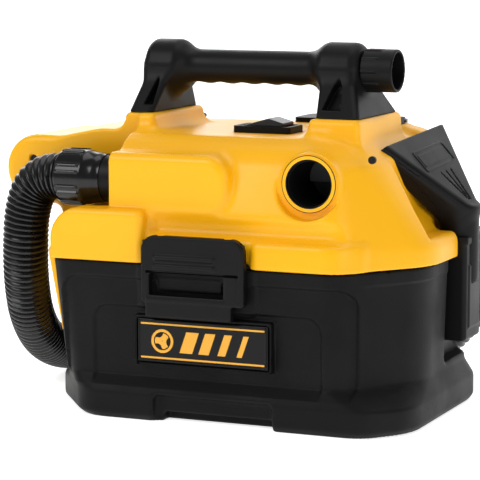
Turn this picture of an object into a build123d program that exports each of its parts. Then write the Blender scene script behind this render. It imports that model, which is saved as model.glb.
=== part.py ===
from build123d import *
import math
import os

# A compact portable wet and dry vacuum: a black tank below, a yellow power head above.
# Millimetres. +X is the object's right, -Y its front, +Z up. The origin is on the floor.

WALL = 3.0              # moulded wall thickness
GAP = 0.5               # working gap between parts that move past each other

# tank
SEAM_Z = 140.0          # top of the tank
RIM_X, RIM_Y = (-160.0, 206.0), (-125.0, 125.0)          # the tank's outline at its rim
RIM_CUTS = ((40, 93), (56, 80), (40, 40), (26, 30))      # corner facets: FL, FR, RR, RL
# tank: level, x range, y range, corner facets
TANK_LEVELS = (
    (0, (-148, 208), (-127, 127), ((68, 97), (30, 38), (40, 40), (42, 46))),
    (22, (-150, 210), (-129, 129), ((70, 99), (32, 40), (40, 40), (44, 48))),
    (40, (-146, 203), (-122, 122), ((36, 90), (50, 72), (40, 40), (28, 32))),
    (SEAM_Z, RIM_X, RIM_Y, RIM_CUTS),
)

# power head shell: level, x range, y range, corner facets
LID_Z0 = SEAM_Z + 1.0
LID_TOP = 251.0
LID_LEVELS = (
    (LID_Z0, (-161, 211), (-125.5, 125.5), ((40, 93), (61, 80), (40, 40), (26, 30))),
    (158, (-162, 211), (-123, 125), ((40, 93), (61, 80), (40, 40), (26, 30))),
    (190, (-163, 190), (-114, 124), ((46, 84), (44, 66), (34, 34), (30, 34))),
    (230, (-165, 166), (-99, 122), ((50, 58), (26, 40), (30, 30), (40, 44))),
    (245, (-158, 148), (-88, 114), ((50, 50), (26, 36), (30, 30), (50, 50))),
    (LID_TOP, (-126, 130), (-72, 98), ((40, 40), (26, 30), (30, 30), (40, 40))),
)
LOBE_X, LOBE_Z, LOBE_R = -96.0, 158.0, 30.0     # rounded end of the left front lobe

# hose inlet at the head's left front
INLET_Y = -83.0
INLET_Z = 210.0
INLET_WALL_X = -69.0
NOTCH_Y = -50.0         # front face of the left ear
NOTCH_Z = 188.0         # floor of the notch that the hose nut turns in
NUT_X = (-130.0, -86.0)
NUT_R = 26.0
NECK_R = 21.0
HOSE_R = 21.2
HOSE_BORE_R = 16.0

# blower port at the right front
PORT_X = 118.0
PORT_Z = 215.5
PORT_FACE_Y = -105.0
PORT_BORE_R = 20.5
PORT_R = 23.0
PORT_TUBE_Y = -84.0

# handle
GRIP_Z = 307.5
GRIP_R = 15.5
KNUCKLE_R = 23.0
KNUCKLE_XL = (-86.0, -46.0)
KNUCKLE_XR = (92.0, 126.0)
TOOL_BORE_R = 12.5
POST_Z = 267.0

# apron beside the tank's left front facet: gap from the tank, reach along the facet, height
SKIRT_OFFSET = 4.5
SKIRT_SPAN = (7.0, 72.0)
SKIRT_T = 2.4
SKIRT_Z = (72.0, 155.0)

# stored crevice tool
TOOL_SOCKET_R = 20.0
TOOL_SOCKET_BORE_R = 16.5
TOOL_SOCKET_X = (131.0, 161.0)
TOOL_TIP_X = -76.0

# stored wide nozzle and its holder
NOZ_X, NOZ_Y = 204.0, 48.0
NOZ_TURN = 6.0          # the nozzle is turned this far about its upright neck
NOZ_NECK_R = 18.0
NOZ_NECK_Z = (116.0, 172.0)
NOZ_TILT = 5.0          # and its fan is tipped this far, the back end of the mouth up
NOZ_MOUTH = (141.0, 15.0)       # mouth width and thickness
NOZ_MOUTH_AT = (-45.0, 238.5)   # mouth centre, outward from the neck and up
HOLDER_X = (185.0, 219.5)
HOLDER_Y = (25.5, 70.5)
HOLDER_Z = (57.0, 158.0)
RECESS = (183.5, 12.0, 100.0, 45.0)   # recess in the tank's right side: x, y0, y1, z0

# motor and fan
MOTOR_X, MOTOR_Y = 25.0, -5.0
SHAFT_R = 4.0
BEARING_R = 9.0
CAN_R = 30.0
CAN_Z = (180.0, 220.0)
FAN_R = 60.0
FAN_Z = (152.0, 178.0)
EYE_R = 16.0            # the fan's inlet eye, which the float shuts
PLATE_Z = (143.5, 148.5)

# filter and float
FILTER_R = 54.0
FILTER_Z = (78.0, 136.0)
CAGE_R = 30.0
CAGE_Z = (88.0, 143.0)
FLOAT_R = 20.0

# battery bay
BAY_X = (39.0, 129.0)
BAY_Y = (62.0, 114.0)
BAY_Z = (190.0, 251.0)
DOOR_Z = (252.0, 258.0)
DOOR_PIN_R = 2.0

# latches, hinged on the head, one in front and one behind
LATCH_X = (-29.0, 69.0)
LATCH_PIVOT_Z = 161.0
LATCH_Y = 131.5
LATCH_T = 9.0
LATCH_PIN_R = 2.0
WINDOW_X = (-21.0, 47.0)
WINDOW_Z = (115.0, 134.0)

# badge on the tank's front
BADGE_X = (-36.6, 88.0)
BADGE_Z = (53.5, 92.0)
BADGE_T = 2.0

# switch on the top, in front of the grip
SWITCH_X = (16.0, 71.0)
SWITCH_Y = (-36.0, 0.0)
SWITCH_AXIS = (43.5, 254.0)

# the hose's route: corners of its centreline, from the nut to the cuff
HOSE_ROUTE = (
    (-131, -83, 210),
    (-160, -83, 210),
    (-187, -78, 184),
    (-191, -74, 145),
    (-191, -63, 106),
    (-193, -41, 70),
    (-197, -6, 42),
    (-198, 44, 24),
    (-192, 101, 22),
    (-154, 147, 22.5),
    (-90, 154, 22),
    (-14, 153, 22.5),
    (62, 154, 22),
    (130, 152, 26),
    (178, 153, 62),
    (187, 152, 112),
    (160, 153, 166),
    (106, 152, 194),
    (22, 153, 214),
    (-74, 152, 223),
    (-156, 153, 225),
    (-206, 152, 208),
    (-221, 150, 164),
    (-221, 150, 128),
)
UPPER_RUN = 15          # the route's first point of the run that comes back along the top
CLIP_X = (-104.0, 62.0)


def box(x, y, z):
    """A block between two values on each axis."""
    size = (x[1] - x[0], y[1] - y[0], z[1] - z[0])
    return Pos(x[0], y[0], z[0]) * Box(*size, align=(Align.MIN, Align.MIN, Align.MIN))


def round_box(x, y, z, radius):
    """A block with rounded upright edges."""
    middle = Pos((x[0] + x[1]) / 2, (y[0] + y[1]) / 2, z[0])
    return middle * extrude(RectangleRounded(x[1] - x[0], y[1] - y[0], radius), z[1] - z[0])


def post(x, y, z, radius):
    """An upright round bar."""
    height = z[1] - z[0]
    return Pos(x, y, z[0]) * Cylinder(radius, height, align=(Align.CENTER, Align.CENTER, Align.MIN))


def bar_x(x, y, z, radius):
    """A round bar along X."""
    turned = Pos(x[0], y, z) * Rot(0, 90, 0)
    return turned * Cylinder(radius, x[1] - x[0], align=(Align.CENTER, Align.CENTER, Align.MIN))


def bar_y(x, y, z, radius):
    """A round bar along Y."""
    turned = Pos(x, y[0], z) * Rot(-90, 0, 0)
    return turned * Cylinder(radius, y[1] - y[0], align=(Align.CENTER, Align.CENTER, Align.MIN))


def group(solids):
    """Several separate solids under one name."""
    return Compound(children=list(solids))


def plan(x, y, cuts, z, grow=0.0, radius=14.0):
    """An eight-sided outline with rounded corners at a height; grow moves its sides outwards."""
    x0, x1 = x[0] - grow, x[1] + grow
    y0, y1 = y[0] - grow, y[1] + grow
    (ax, ay), (bx, by), (cx, cy), (dx, dy) = cuts
    corners = [(x0 + ax, y0), (x1 - bx, y0), (x1, y0 + by), (x1, y1 - cy),
               (x1 - cx, y1), (x0 + dx, y1), (x0, y1 - dy), (x0, y0 + ay)]
    sketch = Polygon(*corners, align=None)
    return Pos(0, 0, z) * fillet(sketch.vertices(), radius)


def tank_form(grow, floor):
    """The tank's tapering block, grown by an amount, from a floor height up to the seam."""
    faces = []
    for level, x, y, cuts in TANK_LEVELS:
        faces.append(plan(x, y, cuts, max(level, floor), grow))
    return loft(faces, ruled=True)


def tank():
    """The dust and water tank: a thin open shell with a recess at its right side for the holder."""
    x, y0, y1, z0 = RECESS
    recess = box((x, 240), (y0, y1), (z0, SEAM_Z + 5))
    inner_recess = box((x - WALL, 240), (y0 - WALL, y1 + WALL), (z0 - WALL, SEAM_Z + 5))
    outer = tank_form(0, 0) - recess
    inner = tank_form(-WALL, 2 * WALL) - inner_recess
    underside = box((-100, 120), (-70, 70), (-1, 1))
    shell = outer - inner - underside
    arch = box((3, 92), (-140, -108), (-5, 9))
    inner_arch = box((0, 95), (-140, -105), (0, 12))
    shell = shell - arch + (inner_arch & outer) - arch
    for foot in foot_places():
        shell -= post(*foot, (-1, 3), 9.3)
    for catch in catch_blocks():
        shell += catch
    return shell - badge_block()


def foot_places():
    """Where the four rubber feet stand."""
    return [(-70, -95), (150, -90), (150, 95), (-105, 90)]


def rubber_feet():
    """Four round rubber feet, let into the tank's underside. The vacuum stands on them."""
    return group(post(*place, (0, 3), 9.0) for place in foot_places())


def catch_blocks():
    """Low catch bars, front and back, that the latches' windows snap over."""
    middle = (WINDOW_X[0] + WINDOW_X[1]) / 2
    reach = LATCH_Y - LATCH_T / 2 - GAP
    front = box((middle - 26, middle + 26), (-reach, -122), (119, 129))
    back = box((middle - 26, middle + 26), (122, reach), (119, 129))
    return [front, back]


def badge_block():
    """The pocket that the badge plate sits in."""
    return box(BADGE_X, (-127, -127 + BADGE_T + 2), BADGE_Z)


def badge_plate():
    """A printed plate let into the tank's front."""
    return box(BADGE_X, (-125.6, -125.6 + BADGE_T), BADGE_Z)


def shoulder(inset):
    """The head's full right rear corner, behind the stored nozzle."""
    outlines = ((176, 192), (207, 188), (230, 172), (249 - inset, 150))
    faces = []
    for z, right in outlines:
        faces.append(plan((110, right), (94, 123), ((7, 7),) * 4, z, -inset, 3))
    return loft(faces, ruled=True)


def lid_form(inset):
    """The head's domed block, with the ear, inlet bulge and battery hump, shrunk by an inset."""
    faces = []
    last = len(LID_LEVELS) - 1
    for index, (level, x, y, cuts) in enumerate(LID_LEVELS):
        height = level - inset if index == last else level
        faces.append(plan(x, y, cuts, height, -inset))
    form = loft(faces, ruled=True)
    ear_low = plan((-172, -120), (-38, 60), ((10, 10),) * 4, 176, -inset, 9)
    ear_mid = plan((-211, -120), (-50, 72), ((24, 16),) * 4, 200, -inset, 9)
    ear_top = plan((-190, -110), (-50, 60), ((26, 24),) * 4, 243 - inset, -inset, 9)
    form += loft([ear_low, ear_mid, ear_top], ruled=True)
    bulge_x = (INLET_WALL_X + inset, 46 - inset)
    form += round_box(bulge_x, (-117 + inset, -60), (184 + inset, 237 - inset), 9)
    hump_z = (BAY_Z[0] - 20, DOOR_Z[0] - 1 - inset)
    hump_x = (BAY_X[0] - 4 + inset, BAY_X[1] + 4 - inset)
    form += round_box(hump_x, (50, BAY_Y[1] + 4 - inset), hump_z, 5)
    form += bar_y(PORT_X, (PORT_FACE_Y + inset, -80), PORT_Z, PORT_R + 5 - inset)
    return form + shoulder(inset)


def nozzle_pocket(grow):
    """The space over the right shoulder that the stored nozzle drops into, open above."""
    x, z = NOZ_MOUTH_AT
    profile = Polygon((x - 15 - grow, z - 12), (-29 - grow, 188), (-23 - grow, 120), (60, 120),
                      (60, 290), (x - 15 - grow, 290), align=None)
    ahead, behind = 84 + grow, 67 + grow
    wedge = Pos(0, behind, 0) * extrude(Plane.XZ * profile, ahead + behind)
    place = Pos(NOZ_X, NOZ_Y, 0) * Rot(0, 0, -NOZ_TURN)
    slot = box((HOLDER_X[0] - 1 - grow, 240), (HOLDER_Y[0] - 1 - grow, HOLDER_Y[1] + 1 + grow),
               (130, 200))
    above = box((-200, 260), (-200, 200), (HOLDER_Z[1] + 6 - grow, 300))
    return (place * wedge & above) + slot


def inlet_notch(grow):
    """The open corner in front of the ear that the hose nut turns in."""
    corner = box((-260, INLET_WALL_X + grow), (-160, NOTCH_Y + grow), (NOTCH_Z - grow, 300))
    trough = bar_x((-260, INLET_WALL_X + grow), INLET_Y, INLET_Z, NUT_R + 3 + grow)
    lobe_end = box((-260, LOBE_X), (-160, NOTCH_Y + grow), (LOBE_Z, 300))
    lobe_end -= bar_y(LOBE_X, (-170, NOTCH_Y + 20), LOBE_Z, LOBE_R - grow)
    return corner + trough + lobe_end


def pedestals():
    """Two raised feet on the head's top that carry the handle's posts."""
    left = round_box((-86, -52), (-56, 58), (236, POST_Z), 8)
    right = round_box((96, 146), (-58, 57), (232, POST_Z), 8)
    return left + right


def lid():
    """The power head's yellow shell."""
    outer = lid_form(0) + pedestals()
    inner = lid_form(WALL) - inlet_notch(WALL) - nozzle_pocket(WALL)
    below = box((-300, 300), (-300, 300), (LID_Z0 - 20, LID_Z0))
    shell = outer - inlet_notch(0) - nozzle_pocket(0) - inner - below
    shell -= bar_x((INLET_WALL_X - 9, INLET_WALL_X + 9), INLET_Y, INLET_Z, NECK_R + 0.2)
    shell -= bar_y(PORT_X, (-130, PORT_TUBE_Y + 20), PORT_Z, PORT_R + 0.2)
    shell -= bar_y(PORT_X, (-130, PORT_FACE_Y), PORT_Z, PORT_R + 2.2)
    shell -= box(BAY_X, BAY_Y, (BAY_Z[0] - 30, 270))
    shell -= box((SWITCH_X[0] - 0.2, SWITCH_X[1] + 0.2), (SWITCH_Y[0] - 0.2, SWITCH_Y[1] + 0.2),
                 (238, 270))
    for place in handle_screw_places():
        shell -= post(*place, (225, POST_Z + 1), 2.6)
    for x, y, z in case_screw_places():
        shell -= bar_y(x, (y - 30, y + 4), z, 4.0)
    shell -= bar_x((BAY_X[0] - 3, BAY_X[1] + 3), BAY_Y[1] - 3, DOOR_Z[0] + 2, DOOR_PIN_R)
    return shell


def side_skirt():
    """A yellow apron of the head that hangs beside the tank's left front corner facet."""
    cut_x, cut_y = RIM_CUTS[0]
    length = math.hypot(cut_x, cut_y)
    along = Vector(-cut_x, cut_y, 0) / length
    outward = Vector(-cut_y, -cut_x, 0) / length
    corner = Vector(RIM_X[0] + cut_x, RIM_Y[0], 0) + outward * SKIRT_OFFSET
    first, last = corner + along * SKIRT_SPAN[0], corner + along * SKIRT_SPAN[1]
    band = make_face(Polyline(first, last, last + outward * SKIRT_T, first + outward * SKIRT_T, first))
    ribbon = Pos(0, 0, SKIRT_Z[0]) * extrude(band, SKIRT_Z[1] - SKIRT_Z[0])
    return ribbon - lid_clearance()


def lid_clearance():
    """The head's own wall, kept free of the skirt's upper edge."""
    faces = []
    for level, x, y, cuts in LID_LEVELS[:3]:
        faces.append(plan(x, y, cuts, level, 0.2))
    return loft(faces, ruled=True)


def handle():
    """The carrying handle: a grip tube between two posts, bored for the crevice tool."""
    grip = bar_x((KNUCKLE_XL[0], KNUCKLE_XR[1]), 0, GRIP_Z, GRIP_R)
    body = grip
    ends = ((KNUCKLE_XL, (-82, -58), (-50, 54)), (KNUCKLE_XR, (101, 133), (-52, 54)))
    for knuckle, foot_x, foot_y in ends:
        body += bar_x(knuckle, 0, GRIP_Z, KNUCKLE_R)
        foot = Pos((foot_x[0] + foot_x[1]) / 2, (foot_y[0] + foot_y[1]) / 2, POST_Z)
        base = foot * RectangleRounded(foot_x[1] - foot_x[0], foot_y[1] - foot_y[0], 6)
        head = Pos((knuckle[0] + knuckle[1]) / 2, 0, GRIP_Z - 12)
        top = head * RectangleRounded(knuckle[1] - knuckle[0] - 2, 2 * KNUCKLE_R - 6, 6)
        body += loft([base, top], ruled=True)
    for step in range(6):
        centre = -32 + step * 22
        body -= Pos(centre, 0, GRIP_Z - GRIP_R - 15) * Rot(90, 0, 0) * Cylinder(18, 60)
    body -= bar_x((KNUCKLE_XL[0] + 4, KNUCKLE_XR[1] + 5), 0, GRIP_Z, TOOL_BORE_R)
    for place in handle_screw_places():
        body -= post(*place, (POST_Z - 1, POST_Z + 14), 2.0)
    return body


def handle_screw_places():
    """Where the handle's four screws stand."""
    return [(-70, -38), (-70, 40), (121, -38), (121, 40)]


def handle_screws():
    """Four screws that come up through the pedestals into the handle's posts."""
    screws = []
    for place in handle_screw_places():
        screws.append(post(*place, (252, POST_Z + 12), 1.9))
    return group(screws)


def case_screw_places():
    """The seats of the two front case screws."""
    return [(-180, NOTCH_Y + 2, 220), (167, -84, 236)]


def case_screws():
    """Pan-head screws at the bottom of the head's two front screw wells."""
    screws = []
    for x, y, z in case_screw_places():
        screws.append(bar_y(x, (y, y + 3), z, 3.4))
    return group(screws)


def crevice_tool():
    """The crevice tool, stored inside the handle: an open socket and a long tapering tube."""
    socket = bar_x(TOOL_SOCKET_X, 0, GRIP_Z, TOOL_SOCKET_R)
    collar = bar_x((KNUCKLE_XR[1] + GAP, TOOL_SOCKET_X[0]), 0, GRIP_Z, TOOL_SOCKET_R - 5)
    length = KNUCKLE_XR[1] + GAP - TOOL_TIP_X
    blade = Cone(TOOL_BORE_R - 4, TOOL_BORE_R - 1, length)
    middle = (TOOL_TIP_X + KNUCKLE_XR[1] + GAP) / 2
    tool = Pos(middle, 0, GRIP_Z) * Rot(0, 90, 0) * blade + collar + socket
    tool -= bar_x((TOOL_SOCKET_X[0] + 3, TOOL_SOCKET_X[1] + 1), 0, GRIP_Z, TOOL_SOCKET_BORE_R)
    bore = Cone(TOOL_BORE_R - 6, TOOL_BORE_R - 3, length + 8)
    tool -= Pos(middle, 0, GRIP_Z) * Rot(0, 90, 0) * bore
    tip = Plane.XZ * Polygon((TOOL_TIP_X - 5, GRIP_Z - 20), (TOOL_TIP_X + 26, GRIP_Z - 20),
                             (TOOL_TIP_X - 5, GRIP_Z + 9), align=None)
    return tool - extrude(tip, 20, both=True)


def nozzle_throat(inset, reach=0.0):
    """The fan of the nozzle, from the neck to the wide mouth, shrunk by an inset and tipped."""
    x, z = NOZ_MOUTH_AT
    width, thick = NOZ_MOUTH
    mouth = Plane(origin=(x, 0, z), x_dir=(0, 1, 0), z_dir=(-0.69, 0, 0.72)).offset(reach)
    waist = Plane(origin=(-6, 0, 187), x_dir=(0, 1, 0), z_dir=(-0.42, 0, 0.91))
    neck = Plane(origin=(0, 0, NOZ_NECK_Z[1] - 4), x_dir=(0, 1, 0), z_dir=(0, 0, 1))
    shapes = [
        neck * RectangleRounded(34 - 2 * inset, 34 - 2 * inset, 9),
        waist * RectangleRounded(48 - 2 * inset, 30 - 2 * inset, 6),
        mouth * RectangleRounded(width - 2 * inset, thick - 2 * inset, 4),
    ]
    face_normal = Axis((0, 0, NOZ_NECK_Z[1]), (0.714, 0, 0.7))
    return loft(shapes, ruled=True).rotate(face_normal, NOZ_TILT)


def nozzle():
    """The wide nozzle: a flat fan over an upright neck, open from mouth to neck."""
    solid = nozzle_throat(0) + post(0, 0, NOZ_NECK_Z, NOZ_NECK_R)
    solid -= nozzle_throat(2.2, 1.0)
    solid -= post(0, 0, (NOZ_NECK_Z[0] - 1, NOZ_NECK_Z[1] - 1), NOZ_NECK_R - 2.2)
    return Pos(NOZ_X, NOZ_Y, 0) * Rot(0, 0, -NOZ_TURN) * solid


def nozzle_holder():
    """A box socket on the head's right side that the nozzle's neck stands in."""
    body = round_box(HOLDER_X, HOLDER_Y, HOLDER_Z, 4)
    body -= post(NOZ_X, NOZ_Y, (NOZ_NECK_Z[0] - GAP, HOLDER_Z[1] + 1), NOZ_NECK_R + GAP)
    body -= post(NOZ_X, NOZ_Y, (HOLDER_Z[0] + 8, NOZ_NECK_Z[0]), 12)
    return body


def hose_nut():
    """The ribbed nut that screws the hose to the inlet; it turns on the inlet's neck."""
    sleeve = bar_x((NUT_X[0], NUT_X[1] - 8), INLET_Y, INLET_Z, NUT_R - 1)
    for step in range(8):
        turn = Rot(step * 45, 0, 0)
        rib = box((NUT_X[0] + 3, NUT_X[1] - 12), (-3, 3), (NUT_R - 4, NUT_R))
        sleeve += Pos(0, INLET_Y, INLET_Z) * turn * rib
    cone = Cone(NUT_R - 1, NECK_R + 1.2, 8)
    sleeve += Pos(NUT_X[1] - 4, INLET_Y, INLET_Z) * Rot(0, 90, 0) * cone
    sleeve -= bar_x((NUT_X[0] + 4, NUT_X[1] + 1), INLET_Y, INLET_Z, NECK_R - 2)
    return sleeve - bar_x((NUT_X[0] - 1, NUT_X[0] + 5), INLET_Y, INLET_Z, HOSE_BORE_R)


def inlet_elbow():
    """The inlet: a neck outside the wall for the nut and an elbow down into the tank."""
    route = FilletPolyline((INLET_WALL_X, INLET_Y, INLET_Z), (-38, INLET_Y, INLET_Z),
                           (-38, INLET_Y, 118), radius=26)
    section = Plane(origin=(INLET_WALL_X, INLET_Y, INLET_Z), z_dir=(1, 0, 0))
    elbow = sweep(section * Circle(NECK_R - 1) - section * Circle(NECK_R - 4), path=route)
    neck = bar_x((NUT_X[1] + GAP, INLET_WALL_X), INLET_Y, INLET_Z, NECK_R)
    spigot = bar_x((NUT_X[0] + 12, NUT_X[1] + GAP), INLET_Y, INLET_Z, NECK_R - 2 - GAP)
    outside = neck + spigot
    outside -= bar_x((NUT_X[0], INLET_WALL_X + 1), INLET_Y, INLET_Z, NECK_R - 4)
    return elbow + outside


def inlet_deflector():
    """A hood on the elbow's lower end that turns the stream away from the filter."""
    ring = post(-38, INLET_Y, (100, 126), NECK_R + 2) - post(-38, INLET_Y, (96, 127), NECK_R - 0.9)
    floor = post(-38, INLET_Y, (96, 100), NECK_R + 2)
    window = box((-80, -38), (INLET_Y - 17, INLET_Y + 17), (100, 116))
    return ring + floor - window


def blower_port():
    """The round exhaust port: a bezel ring outside and a tube back to the duct."""
    tube = bar_y(PORT_X, (PORT_FACE_Y, PORT_TUBE_Y), PORT_Z, PORT_R)
    bezel = bar_y(PORT_X, (PORT_FACE_Y - 2.5, PORT_FACE_Y), PORT_Z, PORT_R + 2)
    bore = bar_y(PORT_X, (PORT_FACE_Y - 3, PORT_TUBE_Y + 1), PORT_Z, PORT_BORE_R)
    return tube + bezel - bore


def exhaust_duct():
    """The box duct that carries the fan's air to the blower port, with a round barrel in front."""
    x, y, z = (86.5, 138.0), (-66.0, -22.0), (152.0, 214.0)
    barrel = bar_y(PORT_X, (PORT_TUBE_Y, -52), PORT_Z, PORT_R)
    hollow = box((x[0] + 2, x[1] - 2), (y[0] + 2, y[1] - 2), (z[0] + 2, z[1] - 2))
    body = box(x, y, z) + barrel - hollow
    body -= bar_y(PORT_X, (PORT_TUBE_Y - 1, -54), PORT_Z, PORT_BORE_R)
    return body - box((x[0] - 1, x[0] + 3), (-52, -26), (156, 174))


def exhaust_foam():
    """A foam block across the duct that quietens the exhaust."""
    return box((89, 135.5), (-46, -30), (178, 211.5))


def motor_plate():
    """The black plate under the head that closes the motor space off from the tank."""
    sheet = extrude(plan(RIM_X, RIM_Y, RIM_CUTS, PLATE_Z[0], -6), PLATE_Z[1] - PLATE_Z[0])
    sheet -= nozzle_pocket(5)
    sheet -= box((RECESS[0] - 4, 240), (RECESS[1] - 4, RECESS[2] + 4), (130, 160))
    sheet -= post(-38, INLET_Y, (130, 160), NECK_R - 0.8)
    rim = post(MOTOR_X, MOTOR_Y, (PLATE_Z[0] - 6, PLATE_Z[0]), FILTER_R - 14)
    return sheet + rim - post(MOTOR_X, MOTOR_Y, (130, 160), 34.0)


def gasket():
    """The rubber seal between the head's plate and the tank's rim."""
    outer = plan(RIM_X, RIM_Y, RIM_CUTS, SEAM_Z + 0.6, -3.5)
    inner = plan(RIM_X, RIM_Y, RIM_CUTS, SEAM_Z + 0.6, -9.5)
    ring = extrude(outer, 2.8) - extrude(inner, 2.8)
    x, y0, y1, _ = RECESS
    ring -= box((x - 3, 240), (y0 - 3, y1 + 3), (120, 160))
    bridge = box((x - 9, x - 3), (y0 - 9, y1 + 3), (SEAM_Z + 0.6, SEAM_Z + 3.4))
    step = box((x - 9, 199), (y0 - 9, y0 - 3), (SEAM_Z + 0.6, SEAM_Z + 3.4))
    return ring + bridge + step


def fan_housing():
    """The fan's round casing, with its inlet eye below and its outlet at the right."""
    body = post(MOTOR_X, MOTOR_Y, FAN_Z, FAN_R) + box((MOTOR_X, 86), (-54, -24), (154, 176))
    body -= post(MOTOR_X, MOTOR_Y, (FAN_Z[0] + 2, FAN_Z[1] - 2), FAN_R - 2)
    body -= box((MOTOR_X, 87), (-52, -26), (156, 174))
    body -= post(MOTOR_X, MOTOR_Y, (FAN_Z[0] - 1, FAN_Z[0] + 3), EYE_R)
    return body - post(MOTOR_X, MOTOR_Y, (FAN_Z[1] - 3, FAN_Z[1] + 1), 12)


def impeller():
    """The fan wheel: two discs with twelve swept blades between them and a hub."""
    z0, z1 = FAN_Z[0] + 5, FAN_Z[1] - 6
    wheel = post(0, 0, (z1 - 1.5, z1), 50) + post(0, 0, (z0, z0 + 1.5), 50)
    wheel -= post(0, 0, (z0 - 1, z0 + 2), 24)
    wheel += post(0, 0, (z0, z1), 9)
    for step in range(12):
        blade = Pos(34, 0, (z0 + z1) / 2) * Rot(0, 0, 38) * Box(26, 1.4, z1 - z0 - 1)
        wheel += Rot(0, 0, step * 30) * blade
    return Pos(MOTOR_X, MOTOR_Y, 0) * (wheel - post(0, 0, (z0 - 1, z1 + 1), SHAFT_R))


def motor_shaft():
    """The motor's steel shaft, from the fan to the upper bearing."""
    return post(MOTOR_X, MOTOR_Y, (FAN_Z[0] + 3, CAN_Z[1] - 3), SHAFT_R)


def motor_rotor():
    """The wound rotor on the shaft."""
    stack = post(MOTOR_X, MOTOR_Y, (190, 208), 18)
    winding = post(MOTOR_X, MOTOR_Y, (187, 211), 13)
    return stack + winding - post(MOTOR_X, MOTOR_Y, (180, 220), SHAFT_R)


def motor_can():
    """The motor's steel can."""
    body = post(MOTOR_X, MOTOR_Y, CAN_Z, CAN_R)
    body -= post(MOTOR_X, MOTOR_Y, (CAN_Z[0] + 2, CAN_Z[1] - 2), CAN_R - 2)
    return body - post(MOTOR_X, MOTOR_Y, (CAN_Z[0] - 1, CAN_Z[1] + 1), BEARING_R)


def bearings():
    """Two ball bearings, one at each end of the can."""
    rings = []
    for z in (CAN_Z[0], CAN_Z[1] - 5):
        ring = post(MOTOR_X, MOTOR_Y, (z, z + 5), BEARING_R)
        rings.append(ring - post(MOTOR_X, MOTOR_Y, (z - 1, z + 6), SHAFT_R + 0.05))
    return group(rings)


def motor_magnets():
    """Two curved magnets inside the can, on either side of the rotor."""
    ring = post(MOTOR_X, MOTOR_Y, (188, 210), CAN_R - 2) - post(MOTOR_X, MOTOR_Y, (187, 211), 21)
    cut = box((MOTOR_X - 40, MOTOR_X + 40), (MOTOR_Y - 7, MOTOR_Y + 7), (180, 215))
    return ring - cut


def filter_cartridge():
    """The pleated cartridge filter that hangs in the tank."""
    ring = post(MOTOR_X, MOTOR_Y, FILTER_Z, FILTER_R)
    return ring - post(MOTOR_X, MOTOR_Y, (FILTER_Z[0] - 1, FILTER_Z[1] + 1), FILTER_R - 14)


def filter_cap():
    """The cap under the filter that holds it on the cage."""
    return post(MOTOR_X, MOTOR_Y, (FILTER_Z[0] - 5, FILTER_Z[0]), FILTER_R + 1) + post(
        MOTOR_X, MOTOR_Y, (FILTER_Z[0] - 16, FILTER_Z[0] - 5), 12)


def float_cage():
    """The slotted cage that guides the float up to the fan's eye."""
    cage = post(MOTOR_X, MOTOR_Y, CAGE_Z, CAGE_R) - post(
        MOTOR_X, MOTOR_Y, (CAGE_Z[0] + 2, CAGE_Z[1] + 1), CAGE_R - 2)
    for step in range(6):
        slot = box((0, 40), (-5, 5), (CAGE_Z[0] + 8, CAGE_Z[1] - 12))
        cage -= Pos(MOTOR_X, MOTOR_Y, 0) * Rot(0, 0, step * 60) * slot
    flange = post(MOTOR_X, MOTOR_Y, (CAGE_Z[1] - 3, CAGE_Z[1]), 33) - post(
        MOTOR_X, MOTOR_Y, (CAGE_Z[1] - 4, CAGE_Z[1] + 1), CAGE_R - 1)
    stem = post(MOTOR_X, MOTOR_Y, (FILTER_Z[0], CAGE_Z[0] + 1), 6)
    return cage + flange + stem


def float_valve():
    """The float: a plug with a tapered top that rises on water and shuts the fan's eye."""
    z0, z1 = CAGE_Z[0] + 3, CAGE_Z[0] + 20
    seat = Pos(MOTOR_X, MOTOR_Y, z1 + 3) * Cone(FLOAT_R, EYE_R - 4, 6)
    return post(MOTOR_X, MOTOR_Y, (z0, z1), FLOAT_R) + seat


def battery_bay():
    """The open tray that the battery stands in."""
    tray = box((BAY_X[0] + 0.3, BAY_X[1] - 0.3), (BAY_Y[0] + 0.3, BAY_Y[1] - 8.0), BAY_Z)
    inside_x, inside_y = (BAY_X[0] + 2.5, BAY_X[1] - 2.5), (BAY_Y[0] + 2.5, BAY_Y[1] - 10)
    return tray - box(inside_x, inside_y, (BAY_Z[0] + 3, 260))


def battery_pack():
    """The slide-in battery pack."""
    (x0, x1), (y0, y1) = BAY_X, BAY_Y
    body = box((x0 + 5, x1 - 5), (y0 + 5, y1 - 13), (BAY_Z[0] + 10, 246))
    grip = box((x0 + 20, x1 - 20), (y0 + 9, y1 - 17), (246, 249))
    return body + grip


def battery_contacts():
    """The terminal block under the battery."""
    (x0, x1), (y0, y1) = BAY_X, BAY_Y
    return box((x0 + 22, x1 - 22), (y0 + 8, y1 - 18), (BAY_Z[0] + 3, BAY_Z[0] + 10))


def battery_door():
    """The black flap over the battery bay, with its hinge barrel at the back."""
    (x0, x1), (y0, y1), z = BAY_X, BAY_Y, DOOR_Z[0]
    flap = round_box((x0 - 2, x1 + 2), (y0 - 2, y1 - 7), DOOR_Z, 5)
    barrel = bar_x((x0 + 0.5, x1 - 0.5), y1 - 3, z + 2, 3.4)
    arm = box((x0 + 2, x1 - 2), (y1 - 12, y1 - 3), (z + 2.5, z + 5.2))
    door = flap + arm + barrel
    return door - bar_x((x0 - 5, x1 + 5), y1 - 3, z + 2, DOOR_PIN_R + 0.05)


def door_pin():
    """The steel pin of the battery door."""
    return bar_x((BAY_X[0] - 2.5, BAY_X[1] + 2.5), BAY_Y[1] - 3, DOOR_Z[0] + 2, DOOR_PIN_R)


def control_board():
    """The circuit board between the battery and the motor."""
    return box((-30, 30), (64, 66), (160, 215)) + box((-18, 0), (56, 64), (170, 190))


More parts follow.
